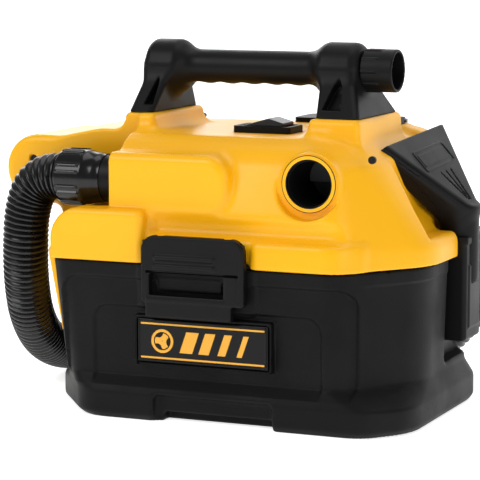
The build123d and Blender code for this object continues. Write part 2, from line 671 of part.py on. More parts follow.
def wiring():
    """Two leads: battery to switch and switch to motor."""
    leads = []
    first = FilletPolyline((34, 50, 205), (-10, 44, 205), (-10, 20, 228), (30, -12, 232.5), radius=6)
    second = FilletPolyline((34, -14, 232), (34, -14, 226), (26, -5, 222), radius=1.5)
    for route in (first, second):
        section = Plane(origin=route @ 0, z_dir=route % 0)
        leads.append(sweep(section * Circle(1.6), path=route))
    return group(leads)


def switch_body():
    """The switch's bezel and the block below it."""
    bezel = round_box(SWITCH_X, SWITCH_Y, (243, 257), 4)
    block = box((24, 63), (-31, -5), (235, 248))
    pocket = box((SWITCH_X[0] + 4, SWITCH_X[1] - 4), (SWITCH_Y[0] + 4, SWITCH_Y[1] - 4), (246, 260))
    pins = bar_y(SWITCH_AXIS[0], (SWITCH_Y[0] + 3, SWITCH_Y[0] + 6), SWITCH_AXIS[1] - 4, 1.5)
    pins += bar_y(SWITCH_AXIS[0], (SWITCH_Y[1] - 6, SWITCH_Y[1] - 3), SWITCH_AXIS[1] - 4, 1.5)
    return bezel + block - pocket + pins


def switch_rocker():
    """The on and off rocker, a wedge that tips about its middle."""
    x0, x1 = SWITCH_X[0] + 8, SWITCH_X[1] - 8
    side = Polygon((x0, 252), (x0, 257), (SWITCH_AXIS[0] + 5, 264), (x1, 260), (x1, 255),
                   (SWITCH_AXIS[0] + 4, 247.5), (SWITCH_AXIS[0] - 4, 247.5), align=None)
    wedge = extrude(Plane.XZ * side, (SWITCH_Y[1] - SWITCH_Y[0]) / 2 - 4.6, both=True)
    wedge = Pos(0, (SWITCH_Y[0] + SWITCH_Y[1]) / 2, 0) * wedge
    return wedge - bar_y(SWITCH_AXIS[0], (SWITCH_Y[0], SWITCH_Y[1]), SWITCH_AXIS[1] - 4, 1.55)


def latch(side):
    """A latch: a plate hung from its hinge barrel, with a window and a tongue; side is -1 or 1."""
    y = (-LATCH_Y - LATCH_T / 2, -LATCH_Y + LATCH_T / 2)
    plate = box(LATCH_X, y, (108, LATCH_PIVOT_Z))
    plate += box((LATCH_X[0] + 4, LATCH_X[1] - 12), y, (95, 109))
    plate += bar_x(LATCH_X, -LATCH_Y, LATCH_PIVOT_Z, LATCH_T / 2)
    plate -= box(WINDOW_X, (-150, -110), WINDOW_Z)
    plate -= bar_x((LATCH_X[0] - 1, LATCH_X[1] + 1), -LATCH_Y, LATCH_PIVOT_Z, LATCH_PIN_R + 0.05)
    for place in ears_x():
        plate -= box((place[0] - GAP, place[1] + GAP), (-140, -110), (LATCH_PIVOT_Z - 8, 190))
    return plate if side < 0 else mirror(plate, about=Plane.XZ)


def ears_x():
    """Where the head's hinge ears stand between the latch's barrels."""
    return [(LATCH_X[0] + 14, LATCH_X[0] + 20), (LATCH_X[1] - 20, LATCH_X[1] - 14)]


def latch_pins():
    """Hinge pins of both latches."""
    front = bar_x((LATCH_X[0] + 1, LATCH_X[1] - 1), -LATCH_Y, LATCH_PIVOT_Z, LATCH_PIN_R)
    return group([front, mirror(front, about=Plane.XZ)])


def latch_mounts():
    """Small ears on the head that carry the latch pins."""
    ears = []
    for place in ears_x():
        ear = box(place, (-LATCH_Y - 3.6, -124.6), (LATCH_PIVOT_Z - 5, LATCH_PIVOT_Z + 5))
        ear -= bar_x((place[0] - 1, place[1] + 1), -LATCH_Y, LATCH_PIVOT_Z, LATCH_PIN_R)
        ears.append(ear - lid_clearance())
        ears.append(mirror(ear, about=Plane.XZ) - lid_clearance())
    return group(ears)


def hose_route():
    """The hose's centreline: straight runs joined by arcs as large as the runs allow."""
    points = [Vector(*point) for point in HOSE_ROUTE]
    radii = []
    for before, here, after in zip(points, points[1:], points[2:]):
        first, second = here - before, after - here
        half_turn = math.radians(first.get_angle(second)) / 2
        radii.append(0.45 * min(first.length, second.length) / math.tan(half_turn))
    print("hose arc radii", [round(radius) for radius in radii])
    return FilletPolyline(*points, radius=radii)


def vacuum_hose():
    """The hose as a plain tube along its stored route."""
    route = hose_route()
    section = Plane(origin=route @ 0, z_dir=route % 0)
    tube = sweep(section * (Circle(HOSE_R) - Circle(HOSE_BORE_R)), path=route)
    area = math.pi * (HOSE_R ** 2 - HOSE_BORE_R ** 2)
    ratio = tube.volume / (area * route.length)
    print("hose length", round(route.length), "volume ratio", round(ratio, 4))
    return tube


def hose_cuff():
    """The cuff on the hose's free end, hanging down at the back left."""
    x, y, z = HOSE_ROUTE[-1]
    cuff = post(x, y, (z - 34, z), 23.5)
    cuff += Pos(x, y, z - 34 - 24) * Cone(18.5, 20.5, 48)
    return cuff - post(x, y, (z - 90, z + 1), HOSE_BORE_R)


def route_at(x):
    """The upper run's y and z at a place along X."""
    for (x0, y0, z0), (x1, y1, z1) in zip(HOSE_ROUTE[UPPER_RUN:], HOSE_ROUTE[UPPER_RUN + 1:]):
        if x1 <= x <= x0:
            share = (x0 - x) / (x0 - x1)
            return y0 + share * (y1 - y0), z0 + share * (z1 - z0)


def hose_clips():
    """C-shaped clips behind the head that the hose's upper run snaps into."""
    clips = []
    for x in CLIP_X:
        y, z = route_at(x)
        ring = bar_x((x - 7, x + 7), y, z, HOSE_R + 6) - bar_x((x - 8, x + 8), y, z, HOSE_R + 3)
        ring -= box((x - 8, x + 8), (y + 9, y + 40), (z - 40, z + 40))
        arm = box((x - 7, x + 7), (110, y - HOSE_R - 3.5), (z - 16, z)) - lid_form(-0.2)
        clips.append(ring + arm)
    return group(clips)


PARTS = {
    "tank": tank, "rubber_feet": rubber_feet, "badge_plate": badge_plate,
    "lid": lid, "side_skirt": side_skirt, "handle": handle, "handle_screws": handle_screws,
    "case_screws": case_screws, "crevice_tool": crevice_tool, "nozzle": nozzle,
    "nozzle_holder": nozzle_holder, "hose_nut": hose_nut, "inlet_elbow": inlet_elbow,
    "inlet_deflector": inlet_deflector, "blower_port": blower_port,
    "exhaust_duct": exhaust_duct, "exhaust_foam": exhaust_foam, "motor_plate": motor_plate,
    "gasket": gasket, "fan_housing": fan_housing, "impeller": impeller,
    "motor_shaft": motor_shaft, "motor_rotor": motor_rotor, "motor_can": motor_can,
    "bearings": bearings, "motor_magnets": motor_magnets,
    "filter_cartridge": filter_cartridge, "filter_cap": filter_cap, "float_cage": float_cage,
    "float_valve": float_valve, "battery_bay": battery_bay, "battery_pack": battery_pack,
    "battery_contacts": battery_contacts, "battery_door": battery_door, "door_pin": door_pin,
    "control_board": control_board, "wiring": wiring, "switch_body": switch_body,
    "switch_rocker": switch_rocker, "front_latch": lambda: latch(-1),
    "rear_latch": lambda: latch(1), "latch_pins": latch_pins, "latch_mounts": latch_mounts,
    "vacuum_hose": vacuum_hose, "hose_cuff": hose_cuff, "hose_clips": hose_clips,
}

os.makedirs("parts", exist_ok=True)
for name, make in PARTS.items():
    export_step(make(), f"parts/{name}.step")
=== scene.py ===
"""The looks of a small portable wet and dry vacuum, built round its CAD frame."""

import math

import bmesh
import bpy
import numpy as np
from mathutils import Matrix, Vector


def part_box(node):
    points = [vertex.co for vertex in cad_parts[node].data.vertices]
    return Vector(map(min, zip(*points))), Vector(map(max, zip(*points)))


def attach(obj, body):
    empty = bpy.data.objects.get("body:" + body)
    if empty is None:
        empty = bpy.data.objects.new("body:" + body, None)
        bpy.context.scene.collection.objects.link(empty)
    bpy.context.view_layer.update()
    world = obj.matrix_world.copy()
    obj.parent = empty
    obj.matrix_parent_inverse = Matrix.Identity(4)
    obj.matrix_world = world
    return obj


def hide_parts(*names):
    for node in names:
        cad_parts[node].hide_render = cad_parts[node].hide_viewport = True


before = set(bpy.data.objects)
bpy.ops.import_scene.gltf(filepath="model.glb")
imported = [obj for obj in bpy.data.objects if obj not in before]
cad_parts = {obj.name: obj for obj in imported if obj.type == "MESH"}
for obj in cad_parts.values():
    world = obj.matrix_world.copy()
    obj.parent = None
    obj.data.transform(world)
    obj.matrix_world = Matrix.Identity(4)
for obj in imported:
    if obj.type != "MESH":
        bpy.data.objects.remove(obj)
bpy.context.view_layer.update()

bl_info = {
    "name": "Portable Vacuum",
    "version": (1, 0, 0),
    "blender": (4, 5, 0),
    "location": "3D View > Sidebar > Vacuum",
    "description": "Builds the visible pieces of a portable wet and dry vacuum round its CAD frame",
    "category": "Object",
}

MM = 0.001


def frame_box(node):
    """A CAD node's lowest and highest corner in millimetres."""
    low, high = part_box(node)
    return np.array(low) / MM, np.array(high) / MM


LID_LOW = frame_box("lid")[0]
LATCH_LOW, LATCH_HIGH = frame_box("front_latch")
REAR_LATCH_LOW, REAR_LATCH_HIGH = frame_box("rear_latch")
FLOAT_LOW, FLOAT_HIGH = frame_box("float_valve")
BADGE_LOW, BADGE_HIGH = frame_box("badge_plate")
NUT_LOW, NUT_HIGH = frame_box("hose_nut")
PORT_LOW, PORT_HIGH = frame_box("blower_port")
SWITCH_LOW, SWITCH_HIGH = frame_box("switch_body")
HANDLE_LOW = frame_box("handle")[0]
TOOL_LOW, TOOL_HIGH = frame_box("crevice_tool")
HOLDER_LOW, HOLDER_HIGH = frame_box("nozzle_holder")
DOOR_LOW, DOOR_HIGH = frame_box("battery_door")
BAY_LOW, BAY_HIGH = frame_box("battery_bay")
CUFF_LOW, CUFF_HIGH = frame_box("hose_cuff")

# Heights and axes that several pieces share, in millimetres.
SEAM_Z = LID_LOW[2]
LID_TOP = 251.0
INLET_Y = (NUT_LOW[1] + NUT_HIGH[1]) / 2
INLET_Z = (NUT_LOW[2] + NUT_HIGH[2]) / 2
INLET_WALL_X = -69.0
PORT_X = (PORT_LOW[0] + PORT_HIGH[0]) / 2
PORT_Z = (PORT_LOW[2] + PORT_HIGH[2]) / 2
PORT_FACE_Y = PORT_LOW[1] + 2.5
GRIP_Z = (TOOL_LOW[2] + TOOL_HIGH[2]) / 2
POST_Z = HANDLE_LOW[2]
NECK_X, NECK_Y = 204.0, 48.0
HOSE_DIAMETER = 42.4
RIB_PITCH, RIB_DEPTH = 5.2, 2.5
PLEAT_COUNT = 60


# ---------------------------------------------------------------- colours and nodes

def linear(colour):
    """Turns an sRGB hex colour into the linear numbers that shaders use."""
    channels = [int(colour[i:i + 2], 16) / 255 for i in (1, 3, 5)]
    lit = [c / 12.92 if c <= 0.04045 else ((c + 0.055) / 1.055) ** 2.4 for c in channels]
    return (*lit, 1.0)


def add_node(tree, kind, inputs=None, **settings):
    """Adds a node, sets its properties, and sets or links its inputs by name or number."""
    made = tree.nodes.new(kind)
    for key, value in settings.items():
        setattr(made, key, value)
    for key, value in (inputs or {}).items():
        if isinstance(value, bpy.types.NodeSocket):
            tree.links.new(value, made.inputs[key])
        else:
            made.inputs[key].default_value = value
    return made


def per_mm(size):
    """A texture scale, in features per metre, from one feature's size in millimetres."""
    return 1.0 / (size * MM)


def surface(name, colour, shade, rough, grain=0.9, depth=0.05, cloud=45.0, metallic=0.0,
            mirror=0.5):
    """A solid material with a colour that drifts slightly, a fine surface grain and uneven gloss.

    grain is the size of one grain and depth its height; cloud is the size of the slow patches of
    shade, all in millimetres. rough is the range that the roughness wanders over, and mirror is how
    strongly the surface mirrors, which a coarse texture lowers.
    """
    made = bpy.data.materials.new(name)
    made.use_nodes = True
    tree = made.node_tree
    tree.nodes.clear()
    place = add_node(tree, "ShaderNodeTexCoord").outputs["Object"]
    drift = add_node(tree, "ShaderNodeTexNoise", {"Vector": place, "Scale": per_mm(cloud), "Detail": 3.0})
    mixed = add_node(tree, "ShaderNodeMix", {0: drift.outputs["Fac"], 6: linear(colour), 7: linear(shade)},
                     data_type="RGBA")
    fine = add_node(tree, "ShaderNodeTexNoise", {"Vector": place, "Scale": per_mm(grain), "Detail": 2.0,
                                                 "Roughness": 0.6})
    gloss = add_node(tree, "ShaderNodeMapRange", {"Value": drift.outputs["Fac"], "From Min": 0.3,
                                                  "From Max": 0.7, "To Min": rough[0], "To Max": rough[1]})
    bump = add_node(tree, "ShaderNodeBump", {"Height": fine.outputs["Fac"], "Distance": depth * MM,
                                             "Strength": 1.0})
    shader = add_node(tree, "ShaderNodeBsdfPrincipled", {
        "Base Color": mixed.outputs[2], "Roughness": gloss.outputs["Result"],
        "Normal": bump.outputs["Normal"], "IOR": 1.5, "Metallic": metallic,
        "Specular IOR Level": mirror})
    add_node(tree, "ShaderNodeOutputMaterial", {"Surface": shader.outputs["BSDF"]})
    return made


# For each slot: the material's name, two colours as sRGB hex or as a name in the look settings, the
# range of roughness, and what else its surface needs.
FINISHES = {
    # ABS, injection moulded in a lightly textured tool: a warm yellow with a broad satin highlight.
    "head_yellow": ("yellow_abs_moulded", "yellow", "yellow_shade", (0.34, 0.42),
        dict(grain=0.8, depth=0.035, mirror=0.35)),
    # Polypropylene, moulded in a spark-eroded tool: deep grey-black with a sandy, dull sheen.
    "tank_black": ("black_polypropylene_eroded", "tank_black", "#0A0A0B", (0.46, 0.6),
        dict(grain=1.3, depth=0.26, mirror=0.15)),
    # Glass-filled nylon, moulded: charcoal with a soft even sheen, used where hands hold it.
    "trim_black": ("black_nylon_moulded", "trim_black", "#0C0C0D", (0.4, 0.5),
        dict(grain=0.9, depth=0.08, mirror=0.17)),
    # ABS, moulded in a polished tool: near black with clear bright highlights.
    "gloss_black": ("black_abs_polished", "#0C0C0D", "#080809", (0.16, 0.24),
        dict(grain=3.0, depth=0.01, mirror=0.38)),
    # Polyethylene, blow moulded over a corrugated mould: glossy black with waxy streaks.
    "hose_black": ("black_polyethylene_blown", "#101011", "#0B0B0C", (0.22, 0.34),
        dict(grain=2.0, depth=0.03, mirror=0.4)),
    # Thermoplastic rubber, moulded: matt, slightly dusty black.
    "soft_rubber": ("black_rubber_moulded", "#1B1B1B", "#262625", (0.7, 0.85), dict(grain=0.7, depth=0.05)),
    # Printed polycarbonate film: flat black with a soft even sheen.
    "badge_print": ("black_film_printed", "#0B0B0C", "#0F0F10", (0.3, 0.4),
        dict(grain=6.0, depth=0.005, mirror=0.2)),
    # Raised yellow ink on the film: opaque and satin.
    "badge_ink": ("yellow_ink_raised", "ink", "#EBA52C", (0.35, 0.45), dict(grain=0.6, depth=0.02)),
    # Recycled ABS for inside housings: mid grey with visible flow clouds.
    "housing_grey": ("grey_abs_inside", "#4A4C4E", "#3D3F41", (0.5, 0.65),
        dict(grain=1.4, depth=0.06, cloud=18.0)),
    # Cold rolled steel, zinc plated: pale grey metal with a fine rolled grain.
    "steel": ("zinc_plated_steel", "#B9BCC0", "#9FA3A8", (0.28, 0.4),
        dict(grain=0.5, depth=0.01, cloud=12.0, metallic=1.0)),
    # Pleated filter paper: off-white, fibrous and fully matt.
    "filter_paper": ("filter_paper_pleated", "#E9E4D6", "#D8D1BE", (0.85, 0.95),
        dict(grain=0.6, depth=0.12, cloud=9.0)),
    # Steel screws and pins, blackened in an oxide bath: near black with a dull metal glint.
    "black_steel": ("black_oxide_steel", "#1C1C1E", "#131315", (0.4, 0.5),
        dict(grain=0.5, depth=0.01, cloud=12.0, metallic=0.6)),
    # Open-cell polyurethane foam: dark grey with deep round pores.
    "foam": ("polyurethane_foam", "#3A3B3C", "#27282A", (0.9, 1.0), dict(grain=1.6, depth=0.8, cloud=6.0)),
    # Enamelled copper wire: warm orange-brown metal under a clear varnish.
    "copper_winding": ("copper_winding_enamelled", "#B4672F", "#8F4A1E", (0.25, 0.35),
        dict(grain=0.8, depth=0.1, cloud=6.0, metallic=1.0)),
    # Sintered ferrite magnet: dull charcoal ceramic with a ground face.
    "magnet": ("sintered_ferrite", "#3B3C40", "#2E2F32", (0.5, 0.6),
        dict(grain=0.5, depth=0.02, cloud=8.0)),
    # Glass-epoxy circuit board with solder mask: glossy dark green.
    "board_green": ("circuit_board_epoxy", "#1F5A38", "#174A2D", (0.25, 0.35),
        dict(grain=0.7, depth=0.02, cloud=7.0)),
    # Tinned copper contacts: soft bright grey metal.
    "contact_metal": ("tinned_copper", "#C7C3B8", "#A9A69D", (0.2, 0.32),
        dict(grain=0.6, depth=0.01, cloud=5.0, metallic=1.0)),
}


def finish_for(slot):
    """The material for a slot, made once and shared."""
    made = bpy.context.scene.get("vacuum_finishes") or {}
    name = made.get(slot)
    if name is None:
        look = bpy.context.scene.vacuum_look
        title, colour, shade, rough, more = FINISHES[slot]
        tints = [tint if tint.startswith("#") else getattr(look, tint) for tint in (colour, shade)]
        material = surface(title, *tints, rough, **more)
        made = dict(made)
        made[slot] = material.name
        bpy.context.scene["vacuum_finishes"] = made
        return material
    return bpy.data.materials[name]


# ---------------------------------------------------------------- meshes

def add_piece(name, points, faces, slot, body, replaced=(), normals=None, ink=None):
    """Makes a piece from points in millimetres and rows of point numbers; it rides on a body."""
    mesh = bpy.data.meshes.new(name)
    mesh.from_pydata((np.asarray(points) * MM).tolist(), [], np.asarray(faces).tolist())
    if normals is None:
        shaped = bmesh.new()
        shaped.from_mesh(mesh)
        bmesh.ops.remove_doubles(shaped, verts=shaped.verts, dist=1e-6)
        bmesh.ops.dissolve_degenerate(shaped, edges=shaped.edges, dist=1e-7)
        bmesh.ops.recalc_face_normals(shaped, faces=shaped.faces)
        shaped.to_mesh(mesh)
        shaped.free()
    mesh.shade_smooth()
    if normals is None:
        mesh.set_sharp_from_angle(angle=math.radians(38))
    else:
        mesh.normals_split_custom_set_from_vertices(normals.tolist())
    piece = bpy.data.objects.new(name, mesh)
    bpy.context.scene.collection.objects.link(piece)
    mesh.materials.append(finish_for(ink or slot))
    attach(piece, body)
    if replaced:
        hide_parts(*replaced)
    return piece


def grid_faces(rows, columns, wrap=True):
    """The quads of a grid of points, row by row; wrap joins the last column to the first."""
    last = columns if wrap else columns - 1
    row, column = np.meshgrid(np.arange(rows - 1), np.arange(last), indexing="ij")
    beside = (column + 1) % columns
    quads = np.stack([row * columns + column, row * columns + beside,
                      (row + 1) * columns + beside, (row + 1) * columns + column], axis=-1)
    return quads.reshape(-1, 4)


def turned(profile, centre, axis, turns=96, swell=None):
    """A lathe shape: a profile of (distance along, radius) rows carried round an axis.

    A point lies at its distance along the axis and its radius from it, at equal steps of angle.
    swell adds to the radius as a function of distance along and angle.
    """
    profile = np.asarray(profile, float)
    angle = np.linspace(0, 2 * np.pi, turns, endpoint=False)
    along = np.repeat(profile[:, :1], turns, axis=1)
    radius = np.repeat(profile[:, 1:], turns, axis=1)
    round_it = np.repeat(angle[None, :], len(profile), axis=0)
    if swell is not None:
        radius = np.maximum(radius + swell(along, round_it) * (radius > 0.01), 0)
    across, up = radius * np.cos(round_it), radius * np.sin(round_it)
    order = {"x": (along, across, up), "y": (across, along, up), "z": (across, up, along)}[axis]
    points = np.stack(order, axis=-1).reshape(-1, 3) + np.asarray(centre, float)
    return points, grid_faces(len(profile), turns)


def spaced(low, high, step, fine=()):
    """Grid values from low to high at a step, with smaller steps inside the fine stretches."""
    values = [low]
    while values[-1] < high:
        steps = [small for start, end, small in fine if start <= values[-1] <= end]
        values.append(values[-1] + min(steps + [step]))
    return np.array(values)


def level_surface(field, xs, ys, zs, reach=0.8):
    """The surface where a field is zero, as points, quads and normals.

    The field is worked out at every corner of a grid of cells. Each cell whose corners differ in
    sign gets one point, at the mean of the places where the field changes sign along its edges.
    Each grid edge that the surface crosses gives a quad between the four cells round it. The
    points then move along the field's slope on to the surface, and the slope is their normal.
    """
    axes = (xs, ys, zs)
    value = field(*np.meshgrid(xs, ys, zs, indexing="ij"))
    inside = value < 0
    near = np.lib.stride_tricks.sliding_window_view(inside, (2, 2, 2)).sum(axis=(3, 4, 5))
    cells = np.argwhere((near > 0) & (near < 8))
    number = np.full(near.shape, -1)
    number[tuple(cells.T)] = np.arange(len(cells))
    total, crossings = np.zeros((len(cells), 3)), np.zeros(len(cells))
    for axis in range(3):
        for side in ((0, 0), (0, 1), (1, 0), (1, 1)):
            start = cells.copy()
            start[:, (axis + 1) % 3] += side[0]
            start[:, (axis + 2) % 3] += side[1]
            end = start.copy()
            end[:, axis] += 1
            first, second = value[tuple(start.T)], value[tuple(end.T)]
            crossed = (first < 0) != (second < 0)
            share = np.where(crossed, first / np.where(crossed, first - second, 1), 0)
            place = np.stack([axes[k][start[:, k]] for k in range(3)], axis=1)
            place[:, axis] += share * (axes[axis][end[:, axis]] - axes[axis][start[:, axis]])
            total += place * crossed[:, None]
            crossings += crossed
    points = total / crossings[:, None]
    quads = []
    for axis in range(3):
        second, third = (axis + 1) % 3, (axis + 2) % 3
        low = [slice(None)] * 3
        low[axis] = slice(None, -1)
        high = [slice(None)] * 3
        high[axis] = slice(1, None)
        rising = inside[tuple(low)] & ~inside[tuple(high)]
        falling = ~inside[tuple(low)] & inside[tuple(high)]
        for found, order in ((rising, (0, 1, 2, 3)), (falling, (3, 2, 1, 0))):
            edge = np.argwhere(found)
            kept = (edge[:, second] > 0) & (edge[:, third] > 0)
            kept &= (edge[:, second] < near.shape[second]) & (edge[:, third] < near.shape[third])
            edge = edge[kept]
            around = []
            for back_second, back_third in ((1, 1), (0, 1), (0, 0), (1, 0)):
                cell = edge.copy()
                cell[:, second] -= back_second
                cell[:, third] -= back_third
                around.append(number[tuple(cell.T)])
            quads.append(np.stack([around[k] for k in order], axis=1))
    small = 0.05
    for _ in range(3):
        slope = np.zeros_like(points)
        for axis in range(3):
            nudge = np.zeros(3)
            nudge[axis] = small
            ahead, behind = (points + nudge).T, (points - nudge).T
            slope[:, axis] = (field(*ahead) - field(*behind)) / (2 * small)
        steep = np.maximum(np.linalg.norm(slope, axis=1), 0.3)
        step = np.clip(field(*points.T) / steep, -reach, reach)
        points = points - step[:, None] * slope / steep[:, None]
    return points, np.concatenate(quads), slope / steep[:, None]


# ---------------------------------------------------------------- fields, in millimetres

def larger(a, b, blend):
    """The larger of two fields, eased into each other over a width, which rounds the edge."""
    share = np.clip(0.5 + 0.5 * (a - b) / blend, 0, 1)
    return b * (1 - share) + a * share + blend * share * (1 - share)


def smaller(a, b, blend):
    """The smaller of two fields, eased over a width, which leaves a fillet between two shapes."""
    return -larger(-a, -b, blend)


def block(x, y, z, across, deep, tall, edge):
    """Distance to a block between two values on each axis, with its edges rounded."""
    gaps = []
    for value, (low, high) in ((x, across), (y, deep), (z, tall)):
        gaps.append(np.abs(value - (low + high) / 2) - (high - low) / 2 + edge)
    outside = np.sqrt(sum(np.maximum(gap, 0) ** 2 for gap in gaps))
    inside = np.minimum(np.maximum(np.maximum(gaps[0], gaps[1]), gaps[2]), 0)
    return outside + inside - edge


def bar(radial, along, span, radius, edge):
    """Distance to a round bar from the distance to its axis and the place along it."""
    side = radial - radius + edge
    end = np.abs(along - (span[0] + span[1]) / 2) - (span[1] - span[0]) / 2 + edge
    outside = np.hypot(np.maximum(side, 0), np.maximum(end, 0))
    return outside + np.minimum(np.maximum(side, end), 0) - edge


def slab(flat, along, span, edge):
    """A flat shape's distance carried between two values of a third axis, its rims rounded."""
    return bar(flat, along, span, 0.0, edge)


def panel(u, v, across, tall, corner):
    """Distance to a flat rectangle with rounded corners."""
    gap_u = np.abs(u - (across[0] + across[1]) / 2) - (across[1] - across[0]) / 2 + corner
    gap_v = np.abs(v - (tall[0] + tall[1]) / 2) - (tall[1] - tall[0]) / 2 + corner
    return np.hypot(np.maximum(gap_u, 0), np.maximum(gap_v, 0)) + np.minimum(
        np.maximum(gap_u, gap_v), 0) - corner


def polygon(u, v, corners, blend):
    """Field of a convex outline, its corners given anticlockwise: its sides' largest distance."""
    made = None
    for (u0, v0), (u1, v1) in zip(corners, corners[1:] + corners[:1]):
        length = math.hypot(u1 - u0, v1 - v0)
        side = ((u - u0) * (v1 - v0) - (v - v0) * (u1 - u0)) / length
        made = side if made is None else larger(made, side, blend)
    return made


def facets(x, y, z, levels, corner, ease=2.0):
    """Field of an eight-sided block whose outline changes with height.

    Each level gives a height, the two ends in x and in y, and how far each of the four corner
    facets cuts in along x and y. The outline between levels runs straight and is then eased over
    a few millimetres. The field is the eased largest of the distances to the eight sides.
    """
    levels = np.asarray(levels, float)
    heights = np.arange(levels[0, 0] - 12, levels[-1, 0] + 12, 0.5)
    weight = np.exp(-0.5 * (np.arange(-16, 17) * 0.5 / ease) ** 2)
    rows = []
    for column in levels[:, 1:].T:
        run = np.interp(heights, levels[:, 0], column)
        padded = np.pad(run, 16, mode="edge")
        rows.append(np.interp(z, heights, np.convolve(padded, weight / weight.sum(), mode="valid")))
    x0, x1, y0, y1, flx, fly, frx, fry, rrx, rry, rlx, rly = rows
    sides = [
        x0 - x, y0 - y, x - x1, y - y1,
        ((x0 + flx - x) * fly + (y0 - y) * flx) / np.hypot(flx, fly),
        ((x - x1 + frx) * fry + (y0 - y) * frx) / np.hypot(frx, fry),
        ((x - x1 + rrx) * rry + (y - y1) * rrx) / np.hypot(rrx, rry),
        ((x0 + rlx - x) * rly + (y - y1) * rlx) / np.hypot(rlx, rly),
    ]
    made = sides[0]
    for side in sides[1:]:
        made = larger(made, side, corner)
    return made


def cut(shape, tool, edge):
    """A shape with a tool taken away, the edge rounded."""
    return larger(shape, -tool, edge)


# ---------------------------------------------------------------- power head

# height, x range, y range, corner facets in x and y: front left, front right, rear right, rear left
LID_LEVELS = (
    (141, -161, 211, -125.5, 125.5, 43, 100, 61, 80, 40, 40, 26, 30),
    (158, -162, 211, -123, 125, 43, 100, 61, 80, 40, 40, 26, 30),
    (190, -163, 190, -114, 124, 49, 90, 44, 66, 34, 34, 30, 34),
    (230, -165, 166, -99, 122, 50, 58, 26, 40, 30, 30, 40, 44),
    (243, -158, 148, -88, 114, 50, 50, 26, 36, 30, 30, 50, 50),
    (251, -126, 130, -72, 98, 40, 40, 26, 30, 30, 30, 40, 40),
)
EAR_CENTRE, EAR_RADIUS = (-178.0, 211.0), 32.0
LOBE_END = (-93.0, 158.0)
LOBE_RADIUS = 30.0
NOTCH_Y, NOTCH_Z = -50.0, 188.0
SCREW_WELLS = ((-180.0, -48.0, 220.0), (167.0, -84.0, 236.0))
NOZZLE_TURN = math.radians(6.0)
# The rear right shoulder's outline in x and z, anticlockwise from its lower left corner.
SHOULDER = [(110, 141), (193, 141), (192, 176), (188, 207), (172, 230), (150, 249), (110, 249)]


def nozzle_place(x, y):
    """Distance outward from the nozzle's neck and along its mouth, which is turned a little."""
    across, deep = x - NECK_X, y - NECK_Y
    c, s = math.cos(NOZZLE_TURN), math.sin(NOZZLE_TURN)
    return c * across - s * deep, s * across + c * deep


def nozzle_pocket(x, y, z):
    """The space over the right shoulder that the stored nozzle drops into, open above."""
    out, along = nozzle_place(x, y)
    profile = polygon(out, z, [(-60, 226.5), (-29, 188), (-23, 120), (60, 120), (60, 300), (-60, 300)], 3)
    wedge = slab(profile, along, (-84, 67), 2)
    wedge = larger(wedge, HOLDER_HIGH[2] + 6 - z, 3)
    slot = block(x, y, z, (HOLDER_LOW[0] - 1, 250), (HOLDER_LOW[1] - 1, HOLDER_HIGH[1] + 1), (120, 205), 2)
    return smaller(wedge, slot, 2)


def inlet_notch(x, y, z):
    """The open corner in front of the ear that the hose nut turns in."""
    corner = larger(larger(x - INLET_WALL_X, y - NOTCH_Y, 2), NOTCH_Z - z, 3)
    trough = larger(np.hypot(y - INLET_Y, z - INLET_Z) - 29.5, x - INLET_WALL_X, 2)
    beyond = np.hypot(np.minimum(x - LOBE_END[0], 0), np.maximum(z - LOBE_END[1], 0))
    end = larger(larger(LOBE_RADIUS - beyond, y - NOTCH_Y, 3), x - LOBE_END[0] - 12, 2)
    return smaller(smaller(corner, trough, 3), end, 2)


def head_form(x, y, z):
    """The head's outside before anything is cut out of it: the domed block and all that stands on it."""
    form = larger(facets(x, y, z, LID_LEVELS, 15, 3.0), z - LID_TOP, 7)
    ear_flat = np.hypot(np.minimum(x - EAR_CENTRE[0], 0), z - EAR_CENTRE[1]) - EAR_RADIUS
    ear_flat = larger(ear_flat, x + 100, 3)
    form = smaller(form, slab(ear_flat, y, (NOTCH_Y, 66), 9), 12)
    bulge = panel(x, z, (-120, 46), (184, 237), 21)
    form = smaller(form, slab(bulge, y, (-117.5, -60), 8), 7)
    left_lobe = block(x, y, z, (-150, -31), (-127.5, -70), (120, NOTCH_Z), 7)
    form = smaller(form, left_lobe, 3)
    right_lobe = block(x, y, z, (71.5, 170), (-128.5, -70), (120, 166.5), 7)
    right_lobe = larger(right_lobe, facets(x, y, z, LID_LEVELS, 15) - 3.4, 5)
    form = smaller(form, right_lobe, 3)
    hump = block(x, y, z, (DOOR_LOW[0] - 1.5, DOOR_HIGH[0] + 1.5), (50, 118), (170, 251), 5)
    form = smaller(form, hump, 10)
    corner = polygon(x, z, SHOULDER, 12)
    form = smaller(form, slab(corner, y, (92, 123.5), 7), 8)
    boss = bar(np.hypot(x - PORT_X, z - PORT_Z), y, (PORT_FACE_Y, -60), 27, 1.5)
    form = smaller(form, boss, 5)
    for across, deep in (((-86, -52), (-56, 58)), ((96, 146), (-58, 57))):
        spread = np.clip((POST_Z - z) / 30, 0, 1.5)
        stand = block(x, y, z, (across[0] + 1, across[1] - 1), deep, (225, POST_Z), 5) - 3.5 * spread ** 2
        form = smaller(form, stand, 13)
    return form


